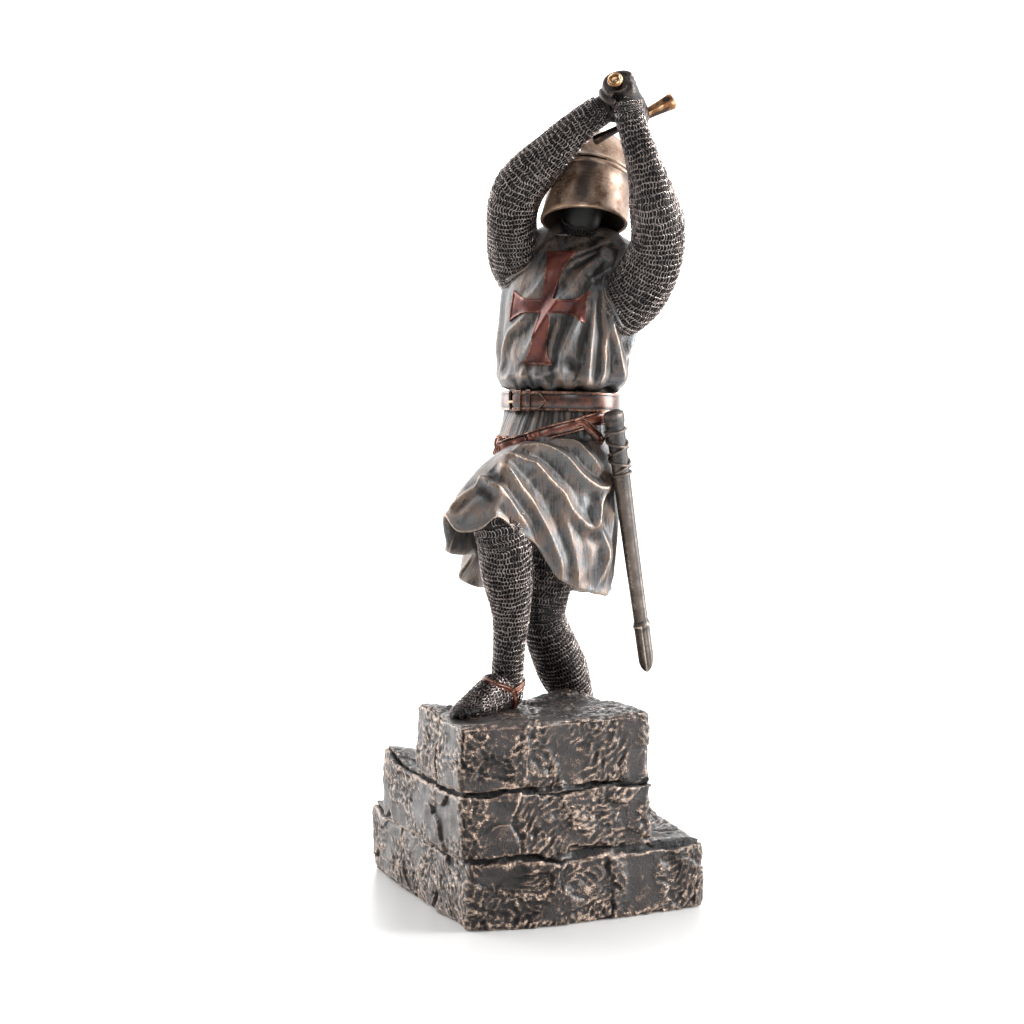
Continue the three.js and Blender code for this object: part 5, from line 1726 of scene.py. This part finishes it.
class KNIGHT_OT_spur_straps(Operator):
    """Straps over the instep, round the heel and under the sole of the forward foot"""

    bl_idname = "knight.spur_straps"
    bl_label = "Spur straps"

    def execute(self, context):
        shoe, shin = (skin_of(bpy.data.objects[name]) for name in ("right_shoe", "right_legging"))
        ankle = np.array([-19.5, -18.5, 0]) * MM

        def lay(name, course, width):
            """A strap round the ankle: its course gives directions and heights over the sole in mm."""
            course = np.array(course, float)
            s = np.linspace(0, 1, 10 * len(course))
            points, out = [], []
            for degrees, height in zip(through(course[:, 0], s), through(course[:, 1], s)):
                way = along(degrees)
                start = ankle + Z * (SOLE + height * MM)
                reaches = [0.0]
                for tree in (shoe, shin):
                    hit, _, _, gap = tree.ray_cast(Vector(start + way * 30 * MM), Vector(-way), 30 * MM)
                    if hit is not None:
                        reaches.append(30 * MM - gap)
                points.append(start + way * (min(max(reaches), 15 * MM) + 0.3 * MM))
                out.append(way)
            return ribbon(name, evened(points, 10), out, width * MM, 1.2 * MM, loop=False)

        over = lay(
            "over_instep",
            [(150, 10), (180, 12.5), (205, 12.6), (225, 11.6), (245, 9.6), (262, 7.6), (276, 6.2)], 2.6,
        )
        heel = lay(
            "round_heel",
            [(268, 6.6), (290, 8.2), (320, 9.6), (360, 10.4), (400, 10.6), (440, 10), (490, 9.6), (512, 10)],
            2.4,
        )
        under = lay("under_sole", [(264, 8.4), (272, 6), (277, 3), (280, 0.4)], 2.2)
        straps = joined("spur_straps", [over, heel, under])
        rub(straps, fine=0.15, broad=0.2, reach=3, plain=0.52)
        finish(straps, strap_patina(), smooth=40)
        return {"FINISHED"}


class KNIGHT_OT_sword(Operator):
    """Sword: blade, flared guard, grip and disc pommel"""

    bl_idname = "knight.sword"
    bl_label = "Sword"

    def execute(self, context):
        guard_at = POMMEL_THICK + GRIP_LENGTH - 1.2 * MM
        face = np.cross(SWORD_AXIS, GUARD_AXIS)
        length, half, thick = 86 * MM, 4.2 * MM, 1.1 * MM
        rows = []
        for s in np.linspace(0, 1, 60):
            narrow = (1 - 0.3 * s) * min(1, 0.04 + (1 - s) / 0.15)
            w, h = half * narrow, thick * min(1, 0.3 + narrow)
            # The fuller ends at three quarters of the blade.
            fuller = 0.45 if s < 0.7 else 0.45 * max(0, 1 - (s - 0.7) / 0.12)
            half_face = [(-1, 0), (-0.62, -0.55), (-0.3, -0.95), (-0.14, -0.95 + fuller)]
            section = half_face + [(-u, v) for u, v in reversed(half_face)]
            section += [(-u, -v) for u, v in section[1:-1]]
            centre = on_sword(guard_at + s * length)
            rows.append([centre + GUARD_AXIS * u * w + face * v * h for u, v in section])
        blade = rub(loft("sword_blade", rows), plain=0.5)
        finish(blade, blade_metal(), smooth=25)
        guard_rows = []
        for s in np.concatenate([[-1.035, -1.02], np.linspace(-1, 1, 41), [1.02, 1.035]]):
            end = abs(s)
            slim = 1.0 if s > 0 else 1 - 0.4 * min(1, -6 * s)
            w = 1.8 * MM * slim * (1.0 + 0.8 * end**2)
            h = 1.8 * MM * slim * (1.0 + 0.6 * end**2)
            if end > 0.97:
                rounding = np.interp(end, [0.97, 1.0, 1.02, 1.035], [1, 0.9, 0.66, 0.2])
                w, h = rounding * w, rounding * h
            turn = (np.arange(16) + 0.5) / 16 * TURN
            square = 1 / np.maximum(np.abs(np.cos(turn)), np.abs(np.sin(turn))) ** 0.8
            centre = on_sword(guard_at) + GUARD_AXIS * s * 17.5 * MM
            across_bar = SWORD_AXIS * (np.cos(turn) * square * w)[:, None]
            guard_rows.append(centre + across_bar + face * (np.sin(turn) * square * h)[:, None])
        guard = loft("sword_guard", guard_rows)
        pommel_profile = [(0, 0.5), (1.2, 0.5), (1.5, 0.75), (1.8, 0.35), (2.3, 0.1), (2.8, 0.3), (3.1, 0.9)]
        pommel_profile += [(3.1, 1.7), (2.7, 2.3), (2.2, 3.0), (0, 3.0)]
        pommel = spun("pommel", [(r * MM, z * MM) for r, z in pommel_profile], 40)
        place_on_axis(pommel, POMMEL_END, SWORD_AXIS, GUARD_AXIS)
        hilt = joined("sword_hilt", [guard, pommel])
        rub(hilt, fine=0.2, broad=0.2, reach=2, plain=0.5)
        # The guard's left arm is painted darker, as shade that falls between the arms.
        along_guard = (coordinates(hilt) - on_sword(guard_at)) @ GUARD_AXIS / MM
        patches = noise_at(coordinates(hilt), 3 * MM, seed=4)
        wear_and_light = np.clip(values_of(hilt) + 0.28 * patches, 0, 1)
        attribute(hilt, "wear_and_light", wear_and_light * np.clip((along_guard + 5) / 3, 0.3, 1))
        finish(hilt, gold_bronze(), smooth=40)
        turn = np.arange(20) / 20 * TURN
        grip_rows = []
        for s in np.linspace(0, 1, 90):
            wrap = 0.12 * MM * np.sin(TURN * 14 * s + turn)
            r = 1.9 * MM + wrap
            centre = on_sword(POMMEL_THICK * 0.8 + s * (GRIP_LENGTH + 0.4 * POMMEL_THICK))
            sideways = GUARD_AXIS * (np.cos(turn) * r)[:, None]
            grip_rows.append(centre + sideways + face * (np.sin(turn) * r)[:, None])
        grip = rub(loft("sword_grip", grip_rows), plain=0.4)
        finish(grip, glove_patina())
        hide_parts("sword")
        return {"FINISHED"}


class KNIGHT_OT_scabbard(Operator):
    """Scabbard with its throat, lashing, ridge and chape"""

    bl_idname = "knight.scabbard"
    bl_label = "Scabbard"

    def execute(self, context):
        def ridge(angle, t):
            spine = 0.14 * MM * bell(np.cos(angle), 0, 0.16) * (t > 0.03)
            band = 0.45 * MM * (bell(t, 0.03, 0.02, 8) + bell(t, 0.81, 0.008, 8))
            cap = 0.3 * MM * (t > 0.81) * np.where(np.abs(np.cos(angle)) > 0.75, 1.4, 0.6)
            # The tip is round.
            cap -= 2.6 * MM * np.clip((t - 0.94) / 0.06, 0, 1) ** 2.5
            return spine + band + cap

        sheath = loft("scabbard_sheath", SHEATH.rows(48, 150, lift=ridge, wider=-0.3 * MM))
        rub(sheath, fine=0.15, broad=0.25, reach=3, plain=0.47)
        # The upper quarter, under the lashing, is hardly rubbed.
        down = (coordinates(sheath) - SCABBARD_TOP) @ SCABBARD_AXIS / SCABBARD_LENGTH
        attribute(sheath, "wear_and_light", values_of(sheath) * (0.55 + 0.45 * np.clip((down - 0.2) / 0.1, 0, 1)))
        finish(sheath, sheath_patina())
        lashing = []
        for turns, start in ((1, 0.08), (-1, 0.08), (1, 0.15), (-1, 0.15)):
            s = np.linspace(0, 1, 40)
            angle = turns * s * TURN + (0 if turns > 0 else math.pi)
            line = SHEATH.surface(angle, start + 0.075 * s, wider=0.1 * MM)
            lashing.append(cord("lashing", line, 0.6 * MM))
        for t_band in (0.075, 0.235):
            angle = np.linspace(0, TURN, 40, endpoint=False)
            line = SHEATH.surface(angle, np.full(40, t_band), wider=0.1 * MM)
            lashing.append(cord("lashing", line, 0.6 * MM, loop=True))
        straps = joined("scabbard_lashing", lashing)
        attribute(straps, "wear_and_light", 0.5)
        finish(straps, sheath_patina())
        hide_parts("scabbard")
        return {"FINISHED"}


# Studio


class KNIGHT_OT_studio(Operator):
    """A pale floor, soft light from behind and both sides, and the camera"""

    bl_idname = "knight.studio"
    bl_label = "Studio"

    def execute(self, context):
        scene = context.scene
        studio = scene.knight_studio
        sight_level = Vector((0.3717, 0.9284, 0))  # the camera's level direction
        camera_place, camera_pitch = (-348.1 * MM, -844.6 * MM, 227.7 * MM), math.radians(4.31)
        lens_mm, sensor_mm = 77.34, 36.0
        lit_place = Vector((0, 0, 0.16))  # middle of the figure, at which the softboxes point
        brightest = sight_level + Vector((0, 0, 0.5))
        deselect()
        bpy.ops.mesh.primitive_plane_add(size=12.0, location=(0, 0, 0))
        floor = context.object
        floor.name = "studio_floor"
        # White acrylic sheet, satin, with painted light: it glows, more with distance, so that it is painted
        # darker round the plinth as a soft shade
        material, tree = new_material("white_floor_painted_glow")
        place = add_node(tree, "TexCoord", out="Object")
        away = add_node(tree, "VectorMath", (place,), out="Value", operation="LENGTH")
        ends = {"Value": away, "From Min": 0.08, "From Max": 0.34, "To Min": 0.12, "To Max": 0.9}
        glow = add_node(tree, "MapRange", ends, interpolation_type="SMOOTHSTEP")
        white, grey = (1, 1, 1, 1), (*linear("#b4b4b3"), 1)
        give_surface(tree, Base_Color=grey, Roughness=0.35, Emission_Color=white, Emission_Strength=glow)
        floor.data.materials.append(material)
        scene.world = scene.world or bpy.data.worlds.new("studio_world")
        scene.world.use_nodes = True
        sky = scene.world.node_tree
        ground = sky.nodes["Background"]
        ground.inputs["Color"].default_value = (1, 1, 1, 1)
        way = add_node(sky, "TexCoord", out="Generated")
        ahead = add_node(sky, "VectorMath", (way, tuple(brightest)), out="Value", operation="DOT_PRODUCT")
        shade = studio.backdrop * studio.front_shade
        ends = {
            "Value": ahead, "From Min": -0.38, "From Max": 0.88, "To Min": shade, "To Max": studio.backdrop,
        }
        strength = add_node(sky, "MapRange", ends, interpolation_type="SMOOTHSTEP")
        sky.links.new(strength, ground.inputs["Strength"])
        for name, place, size, power in (
            ("left_softbox", (-0.5, 0.55, 0.35), (0.45, 0.8), 0.34 * studio.side_light),
            ("right_softbox", (0.78, -0.36, 0.4), (0.45, 0.8), 1.4 * studio.side_light),
            ("front_fill", (-0.5, -1.0, 0.8), (0.4, 0.4), studio.front_light),
        ):
            light = bpy.data.lights.new(name, "AREA")
            light.shape, light.size, light.size_y, light.energy = "RECTANGLE", *size, power
            lamp = bpy.data.objects.new(name, light)
            scene.collection.objects.link(lamp)
            lamp.location = place
            towards = lit_place - Vector(place)
            lamp.rotation_euler = towards.to_track_quat("-Z", "Y").to_euler()
        camera = bpy.data.cameras.new("photo_camera")
        camera.lens, camera.sensor_width, camera.sensor_fit = lens_mm, sensor_mm, "HORIZONTAL"
        camera.clip_start, camera.clip_end = 0.05, 20
        shot = bpy.data.objects.new("photo_camera", camera)
        scene.collection.objects.link(shot)
        shot.location = camera_place
        sight = sight_level * math.cos(camera_pitch) - Vector((0, 0, math.sin(camera_pitch)))
        shot.rotation_euler = sight.to_track_quat("-Z", "Y").to_euler()
        scene.camera = shot
        scene.view_settings.view_transform = "Standard"
        return {"FINISHED"}


class KNIGHT_PT_pieces(Panel):
    """Lists the figurine's pieces and settings"""

    bl_label = "Cast knight"
    bl_idname = "KNIGHT_PT_pieces"
    bl_space_type = "VIEW_3D"
    bl_region_type = "UI"
    bl_category = "Knight"

    def draw(self, context):
        for operator in PIECES:
            self.layout.operator(operator.bl_idname)
        for group in (context.scene.knight_sizes, context.scene.knight_colours, context.scene.knight_studio):
            box = self.layout.box()
            for name in group.__annotations__:
                box.prop(group, name)


PIECES = (
    KNIGHT_OT_plinth,
    KNIGHT_OT_surcoat,
    KNIGHT_OT_collar,
    KNIGHT_OT_cross,
    KNIGHT_OT_skirt,
    KNIGHT_OT_mail,
    KNIGHT_OT_gloves,
    KNIGHT_OT_helm,
    KNIGHT_OT_belts,
    KNIGHT_OT_spur_straps,
    KNIGHT_OT_sword,
    KNIGHT_OT_scabbard,
    KNIGHT_OT_studio,
)
CLASSES = (KnightSizes, KnightColours, KnightStudio, *PIECES, KNIGHT_PT_pieces)


def register():
    for cls in CLASSES:
        bpy.utils.register_class(cls)
    bpy.types.Scene.knight_sizes = PointerProperty(type=KnightSizes)
    bpy.types.Scene.knight_colours = PointerProperty(type=KnightColours)
    bpy.types.Scene.knight_studio = PointerProperty(type=KnightStudio)


def unregister():
    del bpy.types.Scene.knight_studio
    del bpy.types.Scene.knight_colours
    del bpy.types.Scene.knight_sizes
    for cls in reversed(CLASSES):
        bpy.utils.unregister_class(cls)


def main():
    register()
    for operator in PIECES:
        group, name = operator.bl_idname.split(".")
        getattr(getattr(bpy.ops, group), name)()


if __name__ == "__main__":
    main()
